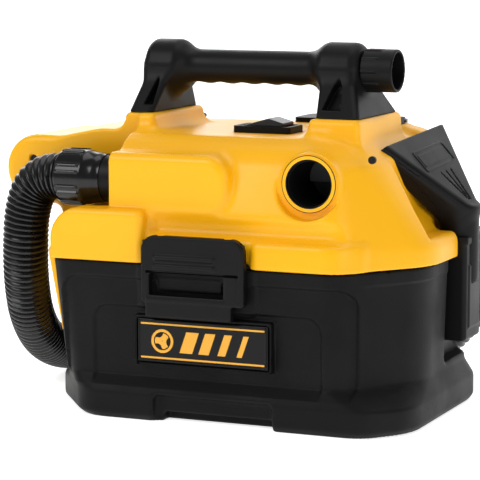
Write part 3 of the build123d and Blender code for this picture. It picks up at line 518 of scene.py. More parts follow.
def lid_field(x, y, z):
    """The yellow shell: the head's form with its openings, pockets, groove and wells cut out."""
    shape = head_form(x, y, z)
    groove = block(x, y, z, (-27, 185), (-160, -112.5), (166.5, 182.5), 7)
    shape = cut(shape, groove, 6)
    for deep in ((-160, -121.5), (120.5, 160)):
        behind_latch = block(x, y, z, (LATCH_LOW[0] - 1.6, LATCH_HIGH[0] + 1.6), deep, (130, 176), 3)
        shape = cut(shape, behind_latch, 2)
    float_middle = (FLOAT_LOW + FLOAT_HIGH) / 2
    float_well = bar(np.hypot(x - float_middle[0], y - float_middle[1]), z, (100, FLOAT_HIGH[2] + 43),
                     (FLOAT_HIGH[0] - FLOAT_LOW[0]) / 2 + 3, 1)
    shape = cut(shape, float_well, 1)
    shape = cut(shape, inlet_notch(x, y, z), 3)
    shape = cut(shape, nozzle_pocket(x, y, z), 3)
    counterbore = bar(np.hypot(x - PORT_X + 1, z - PORT_Z + 1.5), y, (-160, PORT_FACE_Y + 0.5), 29.5, 1)
    shape = cut(shape, counterbore, 3)
    shape = cut(shape, bar(np.hypot(x - PORT_X, z - PORT_Z), y, (-160, -22), 23, 1), 1.5)
    shape = cut(shape, bar(np.hypot(y - INLET_Y, z - INLET_Z), x, (-90, -50), 21.2, 1), 1.5)
    for well_x, well_y, well_z in SCREW_WELLS:
        shape = cut(shape, bar(np.hypot(x - well_x, z - well_z), y, (well_y - 40, well_y + 2), 4.2, 1), 1.5)
    bay = block(x, y, z, (BAY_LOW[0] - 0.3, BAY_HIGH[0] + 0.3), (BAY_LOW[1] - 0.3, 114),
                (BAY_LOW[2], 280), 2)
    shape = cut(shape, bay, 1.5)
    switch = block(x, y, z, (SWITCH_LOW[0] - 0.4, SWITCH_HIGH[0] + 0.4),
                   (SWITCH_LOW[1] - 0.4, SWITCH_HIGH[1] + 0.4), (236, 280), 3)
    shape = cut(shape, switch, 1.5)
    inner = larger(facets(x, y, z, LID_LEVELS, 14) + 4, z - SEAM_Z - 7.8, 1)
    shape = cut(shape, inner, 1)
    return larger(shape, SEAM_Z - z, 1.5)


class VACUUM_OT_head(bpy.types.Operator):
    """Builds the head's yellow shell with its lobes, ear, inlet bulge, port boss and pedestals"""

    bl_idname = "vacuum.head"
    bl_label = "Power Head Shell"

    def execute(self, context):
        xs = spaced(-216, 216, 2.1)
        ys = spaced(-134, 128, 2.1)
        zs = spaced(138, 271, 2.0)
        points, faces, normals = level_surface(lid_field, xs, ys, zs)
        add_piece("head_shell", points, faces, "head_yellow", "head", ("lid",), normals)
        return {"FINISHED"}


def carve(name, field, ranges, cell, slot, body, replaced=(), ink=None):
    """Makes a piece from a field over three ranges of values, in cells of one size."""
    grids = [spaced(low, high, cell) for low, high in ranges]
    points, faces, normals = level_surface(field, *grids, reach=0.4 * cell)
    return add_piece(name, points, faces, slot, body, replaced, normals, ink)


# ---------------------------------------------------------------- tank

# height, x range, y range, corner facets in x and y: front left, front right, rear right, rear left
TANK_LEVELS = (
    (0, -146, 206, -125, 125, 60, 76, 32, 40, 40, 40, 44, 48),
    (5, -150, 210, -129, 129, 58, 76, 32, 40, 40, 40, 44, 48),
    (24, -150, 210, -129, 129, 58, 76, 32, 40, 40, 40, 44, 48),
    (39, -145.5, 203, -122, 122, 36, 90, 50, 72, 40, 40, 28, 32),
    (140, -160, 206, -125, 125, 40, 93, 56, 80, 40, 40, 26, 30),
)
TANK_RECESS_X, TANK_RECESS_Y, TANK_RECESS_Z = 183.5, (12.0, 100.0), 45.0
TANK_WALL = 3.0
# The panels moulded into the front and rear walls: x range, z range and corner radius.
OUTER_PANEL = (-112, 163), (20, 126.5), 16
INNER_PANEL = (-82, 135), (20, 101), 14
REAR_PANEL = (-110, 140), (20, 100), 14
BORDER_Y = -126.2
FOOT_BORES = ((-70, -95), (150, -90), (150, 95), (-105, 90))
ARCH_X, ARCH_Z = (-14.0, 92.0), 9.0
SKIRT_Y, SKIRT_Z, SKIRT_GAP = (-104.0, -44.0), (72.0, 146.0), 0.5
CATCH_X, CATCH_Z = (-17.0, 45.0), (118.0, 130.0)


def step_in(distance, depth, width):
    """How far a moulded panel is set in: nothing outside it, its full depth inside, eased between."""
    share = np.clip(0.5 - distance / width, 0, 1)
    return depth * share * share * (3 - 2 * share)


def tank_recess(x, y, z, grow):
    """The recess in the tank's right side that the nozzle's holder drops into."""
    deep = (TANK_RECESS_Y[0] - grow, TANK_RECESS_Y[1] + grow)
    scoop = block(x, y, z, (TANK_RECESS_X - grow, 260), deep, (TANK_RECESS_Z - grow, 180), 8)
    return scoop


def tank_field(x, y, z):
    """The black tank: a tapering eight-sided shell on a stepped base, with panels set into its walls."""
    wall = facets(x, y, z, TANK_LEVELS, 13, 1.4)
    front = np.clip((-95 - y) / 10, 0, 1) * np.clip((z - 30) / 8, 0, 1)
    outer = panel(x, z, *OUTER_PANEL)
    inner = panel(x, z, *INNER_PANEL)
    around_latch = panel(x, z, (LATCH_LOW[0] - 8, LATCH_HIGH[0] + 8), (98, 150), 10)
    panels = step_in(outer, 2.6, 3.4) + step_in(inner, 2.2, 3) - step_in(around_latch, 1.6, 4)
    back = np.clip((y - 95) / 10, 0, 1) * np.clip((z - 30) / 8, 0, 1)
    rear_panel = step_in(panel(x, z, *REAR_PANEL), 2.0, 4)
    band = np.clip((z - 127.5) / 1.5, 0, 1) * 0.8
    shape = wall + front * panels + back * rear_panel - band * (1 - front)
    inside = larger(shape + TANK_WALL + 1.2 + 4 * np.clip((48 - z) / 7, 0, 1), 6 - z, 4)
    gap = block(x, y, z, (-21, ARCH_X[1]), (-150, -121.5), (-20, 24), 5)
    shape = cut(shape, gap, 4)
    arch = block(x, y, z, ARCH_X, (-150, -108), (-20, ARCH_Z), 3)
    shape = cut(shape, arch, 2)
    shape = larger(larger(shape, -z, 2), z - (SEAM_Z - 1), 1.6)
    frame_low, frame_high = BADGE_LOW - 3.2, BADGE_HIGH + 3.2
    border = block(x, y, z, (frame_low[0], frame_high[0]), (BORDER_Y, -115),
                   (frame_low[2], frame_high[2]), 1.5)
    shape = smaller(shape, border, 1.5)
    pocket = block(x, y, z, (BADGE_LOW[0] - 0.7, BADGE_HIGH[0] + 0.7), (-140, BADGE_HIGH[1] + 0.3),
                   (BADGE_LOW[2] - 0.7, BADGE_HIGH[2] + 0.7), 1)
    shape = cut(shape, pocket, 0.8)
    for side in (-1, 1):
        reach = sorted((side * 115, side * 126.4))
        catch = block(x, y, z, CATCH_X, reach, CATCH_Z, 1.5)
        shape = smaller(shape, catch, 1.5)
    shape = cut(shape, tank_recess(x, y, z, 0), 4)
    inside = cut(inside, tank_recess(x, y, z, TANK_WALL + 0.5), 3)
    inside = cut(inside, np.minimum(np.minimum(gap, arch), pocket) - TANK_WALL - 0.5, 2)
    shape = cut(shape, inside, 1.0)
    for foot_x, foot_y in FOOT_BORES:
        shape = cut(shape, bar(np.hypot(x - foot_x, y - foot_y), z, (-9, 3), 9.4, 0.5), 0.6)
    return shape


def skirt_field(x, y, z):
    """The head's skirt: a thin yellow ribbon that hugs the tank's front left corner and thins downwards."""
    wall = facets(x, y, z, TANK_LEVELS, 13, 1.4)
    outer = 1.6 + 5.0 * np.clip((z - SKIRT_Z[0]) / (SKIRT_Z[1] - SKIRT_Z[0]), 0, 1)
    ribbon = larger(wall - outer, SKIRT_GAP - wall, 0.4)
    ribbon = larger(ribbon, np.maximum(SKIRT_Z[0] - z, z - SKIRT_Z[1]), 1)
    ribbon = larger(ribbon, np.maximum(SKIRT_Y[0] - y, y - SKIRT_Y[1]), 1)
    return larger(ribbon, x + 112, 1)


class VACUUM_OT_tank(bpy.types.Operator):
    """Builds the black tank with its panels, base step, arch and catch bars"""

    bl_idname = "vacuum.tank"
    bl_label = "Tank"

    def execute(self, context):
        xs = spaced(-164, 214, 2.6)
        ys = spaced(-132, 132, 3.4, [(-132, -112, 1.7)])
        zs = spaced(-3, 143, 2.5, [(-3, 12, 1.5), (18, 44, 1.8), (92, 143, 1.8)])
        points, faces, normals = level_surface(tank_field, xs, ys, zs, reach=0.7)
        add_piece("tank_shell", points, faces, "tank_black", "tank_unit", ("tank",), normals)
        carve("skirt_ribbon", skirt_field, ((-172, -110), (-108, -40), (69, 149)), 1.0,
              "head_yellow", "head", ("side_skirt",))
        return {"FINISHED"}


# ---------------------------------------------------------------- hose, nut and cuff

# Points of the hose's line in metres, from the nut, down the left side, along the floor behind
# the tank, up at the back right and along the back of the head to the cuff at the back left.
HOSE_ROUTE = (
    (-0.131, -0.083, 0.210),
    (-0.145, -0.083, 0.210),
    (-0.162, -0.082, 0.199),
    (-0.171, -0.080, 0.174),
    (-0.175, -0.076, 0.142),
    (-0.180, -0.066, 0.108),
    (-0.187, -0.044, 0.072),
    (-0.193, -0.008, 0.042),
    (-0.196, 0.044, 0.024),
    (-0.192, 0.101, 0.022),
    (-0.154, 0.147, 0.0225),
    (-0.090, 0.154, 0.022),
    (-0.014, 0.153, 0.0225),
    (0.062, 0.154, 0.022),
    (0.130, 0.152, 0.026),
    (0.178, 0.153, 0.062),
    (0.187, 0.152, 0.112),
    (0.160, 0.153, 0.166),
    (0.106, 0.152, 0.194),
    (0.022, 0.153, 0.214),
    (-0.074, 0.152, 0.223),
    (-0.156, 0.153, 0.225),
    (-0.206, 0.152, 0.208),
    (-0.221, 0.150, 0.164),
    (-0.221, 0.150, 0.128),
)
# A direction that the hose never runs along, so rings built from it never flip.
HOSE_ASIDE = np.array((0.5, 0.6, -0.6))


def route_line(route):
    """Points along a smooth NURBS line that has the route's points as its control points."""
    curve = bpy.data.curves.new("route", "CURVE")
    curve.dimensions = "3D"
    curve.resolution_u = 24
    spline = curve.splines.new("NURBS")
    spline.points.add(len(route) - 1)
    for point, place in zip(spline.points, route):
        point.co = (*place, 1.0)
    spline.order_u = 3
    spline.use_endpoint_u = True
    holder = bpy.data.objects.new("route", curve)
    bpy.context.scene.collection.objects.link(holder)
    bpy.context.view_layer.update()
    mesh = bpy.data.meshes.new_from_object(holder)
    line = np.empty(len(mesh.vertices) * 3)
    mesh.vertices.foreach_get("co", line)
    bpy.data.objects.remove(holder)
    bpy.data.curves.remove(curve)
    bpy.data.meshes.remove(mesh)
    return line.reshape(-1, 3)


def corrugated(line, diameter, pitch, depth, around=30, per_rib=6):
    """A corrugated tube round a line, as points and quads in the line's own unit.

    Rings stand at equal steps of length, square to the line. Their radius dips by the rib depth
    between ribs and stays near its full size over most of each rib.
    """
    lengths = np.concatenate([[0], np.cumsum(np.linalg.norm(np.diff(line, axis=0), axis=1))])
    ribs = round(lengths[-1] / pitch)
    steps = np.linspace(0, lengths[-1], ribs * per_rib + 1)
    centre = np.stack([np.interp(steps, lengths, line[:, k]) for k in range(3)], axis=1)
    ahead = np.gradient(centre, axis=0)
    weight = np.ones(5) / 5
    for k in range(3):
        ahead[:, k] = np.convolve(np.pad(ahead[:, k], 2, mode="edge"), weight, mode="valid")
    ahead /= np.linalg.norm(ahead, axis=1)[:, None]
    side = np.cross(ahead, HOSE_ASIDE)
    side /= np.linalg.norm(side, axis=1)[:, None]
    up = np.cross(ahead, side)
    valley = (0.5 + 0.5 * np.cos(2 * np.pi * np.arange(len(steps)) / per_rib)) ** 1.6
    radius = diameter / 2 - depth * valley
    radius[[0, -1]] = 0.0
    centre[[0, -1]] = centre[[1, -2]] * 0.2 + centre[[0, -1]] * 0.8
    turn = np.linspace(0, 2 * np.pi, around, endpoint=False)
    points = centre[:, None] + radius[:, None, None] * (
        np.cos(turn)[None, :, None] * side[:, None] + np.sin(turn)[None, :, None] * up[:, None])
    return points.reshape(-1, 3), grid_faces(len(steps), around)


class VACUUM_OT_hose(bpy.types.Operator):
    """Builds the corrugated hose along its stored route, its nut and its cuff"""

    bl_idname = "vacuum.hose"
    bl_label = "Hose, Nut and Cuff"

    def execute(self, context):
        line = route_line(HOSE_ROUTE)
        diameter = HOSE_DIAMETER
        points, faces = corrugated(line / MM, diameter, RIB_PITCH, RIB_DEPTH)
        hose = add_piece("corrugated_hose", points, faces, "hose_black", "head", ("vacuum_hose",))
        cuff = self.cuff()
        self.nut()
        return {"FINISHED"}

    def nut(self):
        """The glossy nut: a sleeve with pairs of grip ribs and a cone down to the inlet's neck."""
        x0, x1 = NUT_LOW[0], NUT_HIGH[0]
        centre = (0, INLET_Y, INLET_Z)
        profile = [(x0 - 0.8, 0), (x0 - 0.8, 19), (x0 - 0.8, 22.6), (x0, 24), (x0 + 1.5, 24.7)]
        profile += [(x0 + 3 + k, 24.8) for k in range(24)]
        profile += [(x1 - 16.5, 24.6), (x1 - 15.5, 23.9), (x1 - 8, 22.7), (x1 - 4, 22.4), (x1 - 3.4, 22.0),
                    (x1 + 0.2, 21.9), (x1 + 0.4, 21.4), (x1 + 0.4, 19.6), (x0 + 6, 19.6), (x0 + 6, 0)]

        def ribs(along, angle):
            """Eight pairs of ribs, each pair 14 degrees apart, over the sleeve's length."""
            turn = np.mod(angle, np.pi / 4) - np.pi / 8
            pair = np.exp(-((np.abs(turn) - math.radians(7)) / math.radians(2.6)) ** 4)
            span = np.clip((along - x0 - 2) / 1.5, 0, 1) * np.clip((x0 + 25 - along) / 1.5, 0, 1)
            return 1.5 * pair * span

        points, faces = turned(profile, centre, "x", 320, ribs)
        return add_piece("hose_nut_ribbed", points, faces, "gloss_black", "hose_nut", ("hose_nut",))

    def cuff(self):
        """The cuff on the hose's free end: a ribbed collar over a slightly tapered spigot."""
        low, high = CUFF_LOW[2], CUFF_HIGH[2]
        middle = (CUFF_LOW + CUFF_HIGH) / 2
        centre = (middle[0], middle[1], 0)
        profile = [(high, 0), (high, 21.3), (high - 1, 22.8), (high - 3, 23.4)]
        for k in range(7):
            top = high - 5 - 3.6 * k
            profile += [(top, 23.4), (top - 0.6, 22.5), (top - 1.4, 22.5), (top - 2.0, 23.4)]
        profile += [(high - 32.5, 23.4), (high - 33.6, 22.6), (high - 34, 20.9), (low + 1.2, 18.5),
                    (low, 17.9), (low, 16.2), (low + 1, 16.0), (high - 8, 16.0), (high - 8, 0)]
        points, faces = turned(profile, centre, "z", 96)
        return add_piece("hose_cuff_ribbed", points, faces, "hose_black", "head", ("hose_cuff",))


# ---------------------------------------------------------------- handle and crevice tool

KNUCKLES = ((-77.0, -46.0), (92.0, 126.0))
# For each post: its x and y ranges at the foot and at the knuckle.
POSTS = (((-82, -58), (-50, 54), (-75, -51), (-20, 20)), ((101, 142), (-52, 54), (94, 125), (-20, 20)))
# For each post, its triangular slit: x at the foot, lean in x per mm of height, half width at the foot.
SLITS = ((-65.0, 0.13, 4.6), (114.5, 0.01, 9.0))
GRIP_RADIUS, KNUCKLE_RADIUS, TOOL_BORE = 15.5, 23.0, 12.5
SCALLOP_FIRST, SCALLOP_STEP, SCALLOP_COUNT = -32.0, 22.0, 6


def handle_field(x, y, z):
    """The handle: a scalloped grip tube between two rounded knuckles on tapering posts."""
    grip_radius = GRIP_RADIUS
    from_axis = np.hypot(y, z - GRIP_Z)
    shape = bar(from_axis, x, (KNUCKLES[0][0] + 4, KNUCKLES[1][1]), grip_radius, 2)
    for knuckle, (foot_x, foot_y, top_x, top_y), (slit_x, lean, wide) in zip(KNUCKLES, POSTS, SLITS):
        share = np.clip((z - POST_Z) / (GRIP_Z - POST_Z), 0, 1)
        x0, x1 = (foot_x[k] + share * (top_x[k] - foot_x[k]) for k in (0, 1))
        y0, y1 = (foot_y[k] + share * (top_y[k] - foot_y[k]) for k in (0, 1))
        post = larger(larger(x0 - x, x - x1, 6), larger(y0 - y, y - y1, 6), 7)
        post = larger(larger(post, POST_Z - z, 1.2), z - GRIP_Z, 4)
        middle = slit_x + lean * (z - POST_Z)
        half = wide * np.clip(1 - (z - POST_Z - 7) / 38, 0, 1) - 0.3
        slit = larger(larger(np.abs(x - middle) - half, y - y0 - 12, 1), POST_Z + 7 - z, 1)
        post = cut(post, slit, 1)
        shape = smaller(shape, bar(from_axis, x, knuckle, KNUCKLE_RADIUS, 6), 18)
        shape = smaller(shape, post, 10)
    for step in range(SCALLOP_COUNT):
        middle = SCALLOP_FIRST + step * SCALLOP_STEP
        scallop = np.hypot(x - middle, z - (GRIP_Z - grip_radius - 16.6)) - 18
        shape = cut(shape, larger(scallop, np.abs(x - middle) - 9, 1.5), 1.6)
    bore = bar(from_axis, x, (KNUCKLES[0][0] + 4, 140), TOOL_BORE, 0.5)
    return cut(shape, bore, 1)


def crevice_field(x, y, z):
    """The crevice tool: an open ribbed socket, a collar and a long hollow blade with a slanted tip."""
    from_axis = np.hypot(y, z - GRIP_Z)
    angle = np.arctan2(z - GRIP_Z, y)
    low, high = TOOL_LOW[0], TOOL_HIGH[0]
    socket_from = high - 30
    ribs = 0.9 * np.clip(np.cos(angle * 10) * 3 - 2, 0, 1) * np.clip((high - 13 - x) / 2, 0, 1)
    socket = bar(from_axis - ribs, x, (socket_from, high), 19.2, 1.2)
    collar = bar(from_axis, x, (KNUCKLES[1][1] + 0.5, socket_from + 3), 15, 0.5)
    share = np.clip((x - low) / (KNUCKLES[1][1] - low), 0, 1)
    blade = larger(from_axis - (8.5 + 3 * share), np.maximum(low - x, x - socket_from), 1)
    shape = smaller(smaller(socket, collar, 1), blade, 2)
    shape = cut(shape, bar(from_axis, x, (socket_from + 3, high + 20), 16.5, 0.5), 1)
    shape = cut(shape, larger(from_axis - (6.5 + 3 * share), x - socket_from - 8, 1), 0.8)
    slant = ((x - low) + (z - GRIP_Z + 20)) / 1.4142 - 19.5
    return cut(shape, slant, 0.8)


class VACUUM_OT_handle(bpy.types.Operator):
    """Builds the carrying handle and the crevice tool stored in it"""

    bl_idname = "vacuum.handle"
    bl_label = "Handle and Crevice Tool"

    def execute(self, context):
        carve("carrying_handle", handle_field, ((-92, 148), (-58, 60), (264, 334)), 1.25,
              "trim_black", "head", ("handle",))
        carve("crevice_tool_body", crevice_field, ((-79, 164), (-23, 23), (GRIP_Z - 23, GRIP_Z + 23)), 1.2,
              "trim_black", "crevice_tool", ("crevice_tool",))
        return {"FINISHED"}


# ---------------------------------------------------------------- wide nozzle and its holder

WAIST = (-6.0, 187.0)
MOUTH = (-48.0, 243.0)
MOUTH_HALF, MOUTH_THICK = 74.0, 8.0
FAN_TIP = math.radians(5.0)


def nozzle_fan(x, y, z, inset, reach=0.0):
    """The nozzle's flat fan, from the waist to the wide mouth, shrunk by an inset; and its own places.

    Along the fan its half width and half thickness change steadily from the waist to the mouth.
    """
    out, along = nozzle_place(x, y)
    length = math.hypot(MOUTH[0] - WAIST[0], MOUTH[1] - WAIST[1])
    go = ((MOUTH[0] - WAIST[0]) / length, (MOUTH[1] - WAIST[1]) / length)
    run = (out - WAIST[0]) * go[0] + (z - WAIST[1]) * go[1]
    face = (out - WAIST[0]) * go[1] - (z - WAIST[1]) * go[0]
    c, s = math.cos(FAN_TIP), math.sin(FAN_TIP)
    run, along = c * (run + 15) - s * along - 15, s * (run + 15) + c * along
    share = np.clip(run / length, -0.25, 1.05)
    half = 25 + share * (MOUTH_HALF - 25) - inset
    thick = 14.5 + share * (MOUTH_THICK - 14.5) - inset
    sides = (np.abs(along) - half) * 0.82
    shape = larger(sides, face - thick, 9 - 2 * inset)
    shape = larger(shape, -face - thick, 5)
    shape = larger(shape, run - length - reach, 1.5)
    shape = larger(shape, -run - 20, 8)
    return shape, run, along, face, thick


def nozzle_field(x, y, z):
    """The wide nozzle: fan and upright neck, hollow, with a raised panel and grooves on its face."""
    shape, run, along, face, thick = nozzle_fan(x, y, z, 0)
    on_face = np.clip((face - thick + 3) / 2, 0, 1)
    ring = np.abs(panel(along, run, (-34, 34), (33, 54), 3)) - 0.9
    shape = shape - on_face * 0.9 * np.clip(0.5 - ring / 1.2, 0, 1)
    inner = panel(along, run, (-30, 30), (37, 50), 2)
    shape = shape - on_face * 0.5 * np.clip(0.5 - inner / 1.2, 0, 1)
    for step in (-1, 0, 1):
        groove = np.abs(along - step * (4 + 0.28 * run)) - 1.1
        groove = larger(groove, np.abs(run - 10) - 17, 1)
        shape = shape + on_face * 1.1 * np.clip(0.5 - groove / 1.2, 0, 1)
    neck = bar(np.hypot(x - NECK_X, y - NECK_Y), z, (116, 184), 18, 1)
    shape = smaller(shape, neck, 7)
    hollow = nozzle_fan(x, y, z, 2.4, 3.0)[0]
    shape = cut(shape, hollow, 1)
    return cut(shape, bar(np.hypot(x - NECK_X, y - NECK_Y), z, (100, 180), 15.8, 0.5), 1)


def holder_field(x, y, z):
    """The nozzle's holder: a box socket with a raised panel on its outer face."""
    low, high = HOLDER_LOW, HOLDER_HIGH
    shape = block(x, y, z, (low[0], high[0] - 1.4), (low[1], high[1]), (low[2] + 6, high[2]), 4)
    raised = block(x, y, z, (high[0] - 9, high[0]), (low[1] + 6, high[1] - 6),
                   (low[2] + 17, low[2] + 76), 2.5)
    shape = smaller(shape, raised, 1.5)
    lip = block(x, y, z, (low[0], high[0]), (low[1], high[1]), (high[2] - 7, high[2]), 2)
    shape = smaller(shape, lip, 1.5)
    return cut(shape, bar(np.hypot(x - NECK_X, y - NECK_Y), z, (115.5, 200), 18.5, 0.5), 1)


class VACUUM_OT_nozzle(bpy.types.Operator):
    """Builds the wide nozzle and the holder that it stands in"""

    bl_idname = "vacuum.nozzle"
    bl_label = "Wide Nozzle and Holder"

    def execute(self, context):
        carve("wide_nozzle", nozzle_field, ((140, 228), (-28, 124), (113, 256)), 1.3,
              "trim_black", "nozzle", ("nozzle",))
        ranges = [(low - 2, high + 2) for low, high in zip(HOLDER_LOW, HOLDER_HIGH)]
        carve("nozzle_socket_holder", holder_field, ranges, 1.3, "trim_black", "head", ("nozzle_holder",))
        return {"FINISHED"}


# ---------------------------------------------------------------- latches and badge

WINDOW_X, WINDOW_Z = (-21.0, 50.0), (115.0, 134.0)
LATCH_HOOK_Z = 108.0
GRIP_RIBS = (148.5, 141.0)


def latch_field(x, y, z):
    """The front latch: a rounded plate with two grip ribs, a window over the catch and a tongue."""
    (x0, y0, _), (x1, y1, _) = LATCH_LOW, LATCH_HIGH
    top = panel(x, z, (x0, x1), (120, 167.5), 13)
    lower = panel(x, z, (x0, x1), (LATCH_HOOK_Z, 150), 3)
    tongue = panel(x, z, (x0 + 4, x1 - 12), (LATCH_LOW[2], 120), 2)
    plate = slab(smaller(smaller(top, lower, 0.5), tongue, 2), y, (y0 + 0.2, y1), 2.2)
    frame_flat = np.maximum(panel(x, z, (x0 + 5, x1 - 6), (109, 135), 3),
                            -panel(x, z, (WINDOW_X[0] - 2, WINDOW_X[1] + 2), (113, 150), 2))
    plate = smaller(plate, slab(frame_flat, y, (y0, y1 - 2), 1.2), 1)
    for height in GRIP_RIBS:
        rib = np.hypot(y - y0 - 0.7, z - height) - 2.5
        plate = smaller(plate, larger(rib, np.abs(x - 13) - 29, 2), 1.6)
    line = larger(np.abs(z - 135.6) - 0.9, y - y0 - 3.8, 0.5)
    plate = cut(plate, larger(line, np.abs(x - (x0 + x1) / 2) - 44, 0.5), 0.5)
    window = block(x, y, z, WINDOW_X, (-160, -100), WINDOW_Z, 2)
    plate = cut(plate, window, 1)
    for ear_x in (x0 + 17, x1 - 17):
        slot = block(x, y, z, (ear_x - 3.6, ear_x + 3.6), (y0 + 2.8, -100), (153, 200), 1)
        plate = cut(plate, slot, 0.8)
    pivot_y = (y0 + y1) / 2
    return cut(plate, np.hypot(y - pivot_y, z - 161) - 2.1, 0.3)


def rear_latch_field(x, y, z):
    """The rear latch is the front one turned to face the other way."""
    return latch_field(x, -y, z)


def badge_field(x, y, z):
    """The badge's plate, with a thin raised border."""
    low, high = BADGE_LOW, BADGE_HIGH
    plate = block(x, y, z, (low[0], high[0]), (low[1], high[1]), (low[2], high[2]), 0.8)
    rim = np.abs(panel(x, z, (low[0] + 1.6, high[0] - 1.6), (low[2] + 1.6, high[2] - 1.6), 2)) - 0.7
    return smaller(plate, slab(rim, y, (low[1] - 0.6, low[1] + 1), 0.3), 0.4)


def badge_graphic(x, y, z):
    """A plain raised graphic: two bars, a ring with three curved vanes and four slanted stripes."""
    (x0, front, z0), (x1, _, z1) = BADGE_LOW, BADGE_HIGH
    middle = (z0 + z1) / 2
    flat = panel(x, z, (x0 + 3, x1 - 3), (z1 - 5.0, z1 - 3.2), 0.6)
    flat = np.minimum(flat, panel(x, z, (x0 + 3, x1 - 3), (z0 + 3.2, z0 + 5.0), 0.6))
    u, v = x - (x0 + 24), z - middle
    flat = np.minimum(flat, np.abs(np.hypot(u, v) - 9.4) - 1.3)
    for step in range(3):
        turn = step * 2 * math.pi / 3 + 0.4
        across, up = u * math.cos(turn) + v * math.sin(turn), v * math.cos(turn) - u * math.sin(turn)
        vane = np.maximum(np.hypot(across - 3, up - 4.5) - 5.2, 4.6 - np.hypot(across + 0.5, up - 8.5))
        flat = np.minimum(flat, np.maximum(vane, np.hypot(u, v) - 7.2))
    for step in range(4):
        lean = x - (x0 + 50 + 17 * step) - 0.35 * v
        flat = np.minimum(flat, np.maximum(np.abs(lean) - (6.2 - 1.2 * step), np.abs(v) - 9.6))
    return slab(flat, y, (front - 0.45, front + 0.4), 0.2)


class VACUUM_OT_latches(bpy.types.Operator):
    """Builds the front and rear latches and the badge"""

    bl_idname = "vacuum.latches"
    bl_label = "Latches and Badge"

    def execute(self, context):
        across, tall = (LATCH_LOW[0] - 2, LATCH_HIGH[0] + 2), (LATCH_LOW[2] - 2, 170)
        carve("front_latch_plate", latch_field, (across, (LATCH_LOW[1] - 2, LATCH_HIGH[1] + 2), tall), 1.0,
              "trim_black", "front_latch", ("front_latch",))
        rear = (REAR_LATCH_LOW[1] - 2, REAR_LATCH_HIGH[1] + 2)
        carve("rear_latch_plate", rear_latch_field, (across, rear, tall), 1.2,
              "trim_black", "rear_latch", ("rear_latch",))
        ranges = [(low - 1.5, high + 1.5) for low, high in zip(BADGE_LOW, BADGE_HIGH)]
        carve("badge_panel", badge_field, ranges, 0.8, "badge_print", "tank_unit", ("badge_plate",))
        carve("badge_graphic_raised", badge_graphic,
              (ranges[0], (BADGE_LOW[1] - 1.2, BADGE_LOW[1] + 1.2), ranges[2]), 0.55,
              "badge_print", "tank_unit", ink="badge_ink")
        return {"FINISHED"}


# ---------------------------------------------------------------- port ring, filter and small trim

# CAD nodes whose edges are softened in place, and by how many millimetres.
EASED_EDGES = {
    "battery_door": 1.2, "battery_bay": 0.6, "battery_pack": 1.0, "switch_body": 0.8,
    "switch_rocker": 0.9, "hose_clips": 0.8, "latch_mounts": 0.5, "filter_cap": 0.8, "motor_plate": 0.5,
}


class VACUUM_OT_trim(bpy.types.Operator):
    """Builds the port's ring, the pleated filter and softens the edges of the plain CAD pieces"""

    bl_idname = "vacuum.trim"
    bl_label = "Port Ring, Filter and Edges"

    def execute(self, context):
        y = PORT_FACE_Y
        ring = [(y - 1.0, 20.7), (y - 2.4, 21.2), (y - 2.9, 22.4), (y - 2.6, 24.3), (y - 1.6, 25.2),
                (y + 2, 25.3), (y + 2, 23.2), (y - 2.2, 23.2), (y - 1.6, 20.7), (y - 1.0, 20.7)]
        points, faces = turned(ring, (PORT_X, 0, PORT_Z), "y", 120)
        add_piece("port_ring", points, faces, "head_yellow", "head")
        lining = [(y + 1, 20.6), (y + 78, 20.6), (y + 78, 19.6), (y + 1, 19.6), (y + 1, 20.6)]
        points, faces = turned(lining, (PORT_X, 0, PORT_Z), "y", 64)
        add_piece("port_lining", points, faces, "trim_black", "head")
        low, high = frame_box("filter_cartridge")
        middle, radius = (low + high) / 2, (high[0] - low[0]) / 2
        heights = np.linspace(low[2] + 3, high[2] - 3, 5)
        count = PLEAT_COUNT
        profile = [(low[2], radius - 14), (low[2], radius - 1), (low[2] + 3, radius - 1)]
        profile += [(height, radius - 1.6) for height in heights]
        profile += [(high[2] - 3, radius - 1), (high[2], radius - 1), (high[2], radius - 14),
                    (low[2], radius - 14)]

        def pleats(along, angle):
            """Folds round the cartridge, between its two end caps."""
            fold = np.abs(np.mod(angle * count / (2 * np.pi), 1) - 0.5) * 2
            return -5.5 * fold * (along > low[2] + 3.1) * (along < high[2] - 3.1)

        points, faces = turned(profile, (middle[0], middle[1], 0), "z", 480, pleats)
        add_piece("filter_pleats", points, faces, "filter_paper", "head", ("filter_cartridge",))
        for name, width in EASED_EDGES.items():
            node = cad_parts[name]
            weld = node.modifiers.new("weld", "WELD")
            weld.merge_threshold = 0.00002
            bevel = node.modifiers.new("bevel", "BEVEL")
            bevel.width = width * MM
            bevel.segments = 3
            bevel.limit_method = "ANGLE"
            bevel.angle_limit = math.radians(40)
            bevel.harden_normals = True
        return {"FINISHED"}


# ---------------------------------------------------------------- camera, floor and light

CAMERA_AT = (0.84997, -1.96447, 0.43887)
CAMERA_AIM = (0.008, 0.0, 0.148)
# Where the paper starts to curve up behind the vacuum, its bend radius, and how strongly it glows.
SWEEP_AT, SWEEP_RADIUS, PAPER_GLOW = 2.2, 1.2, 0.72


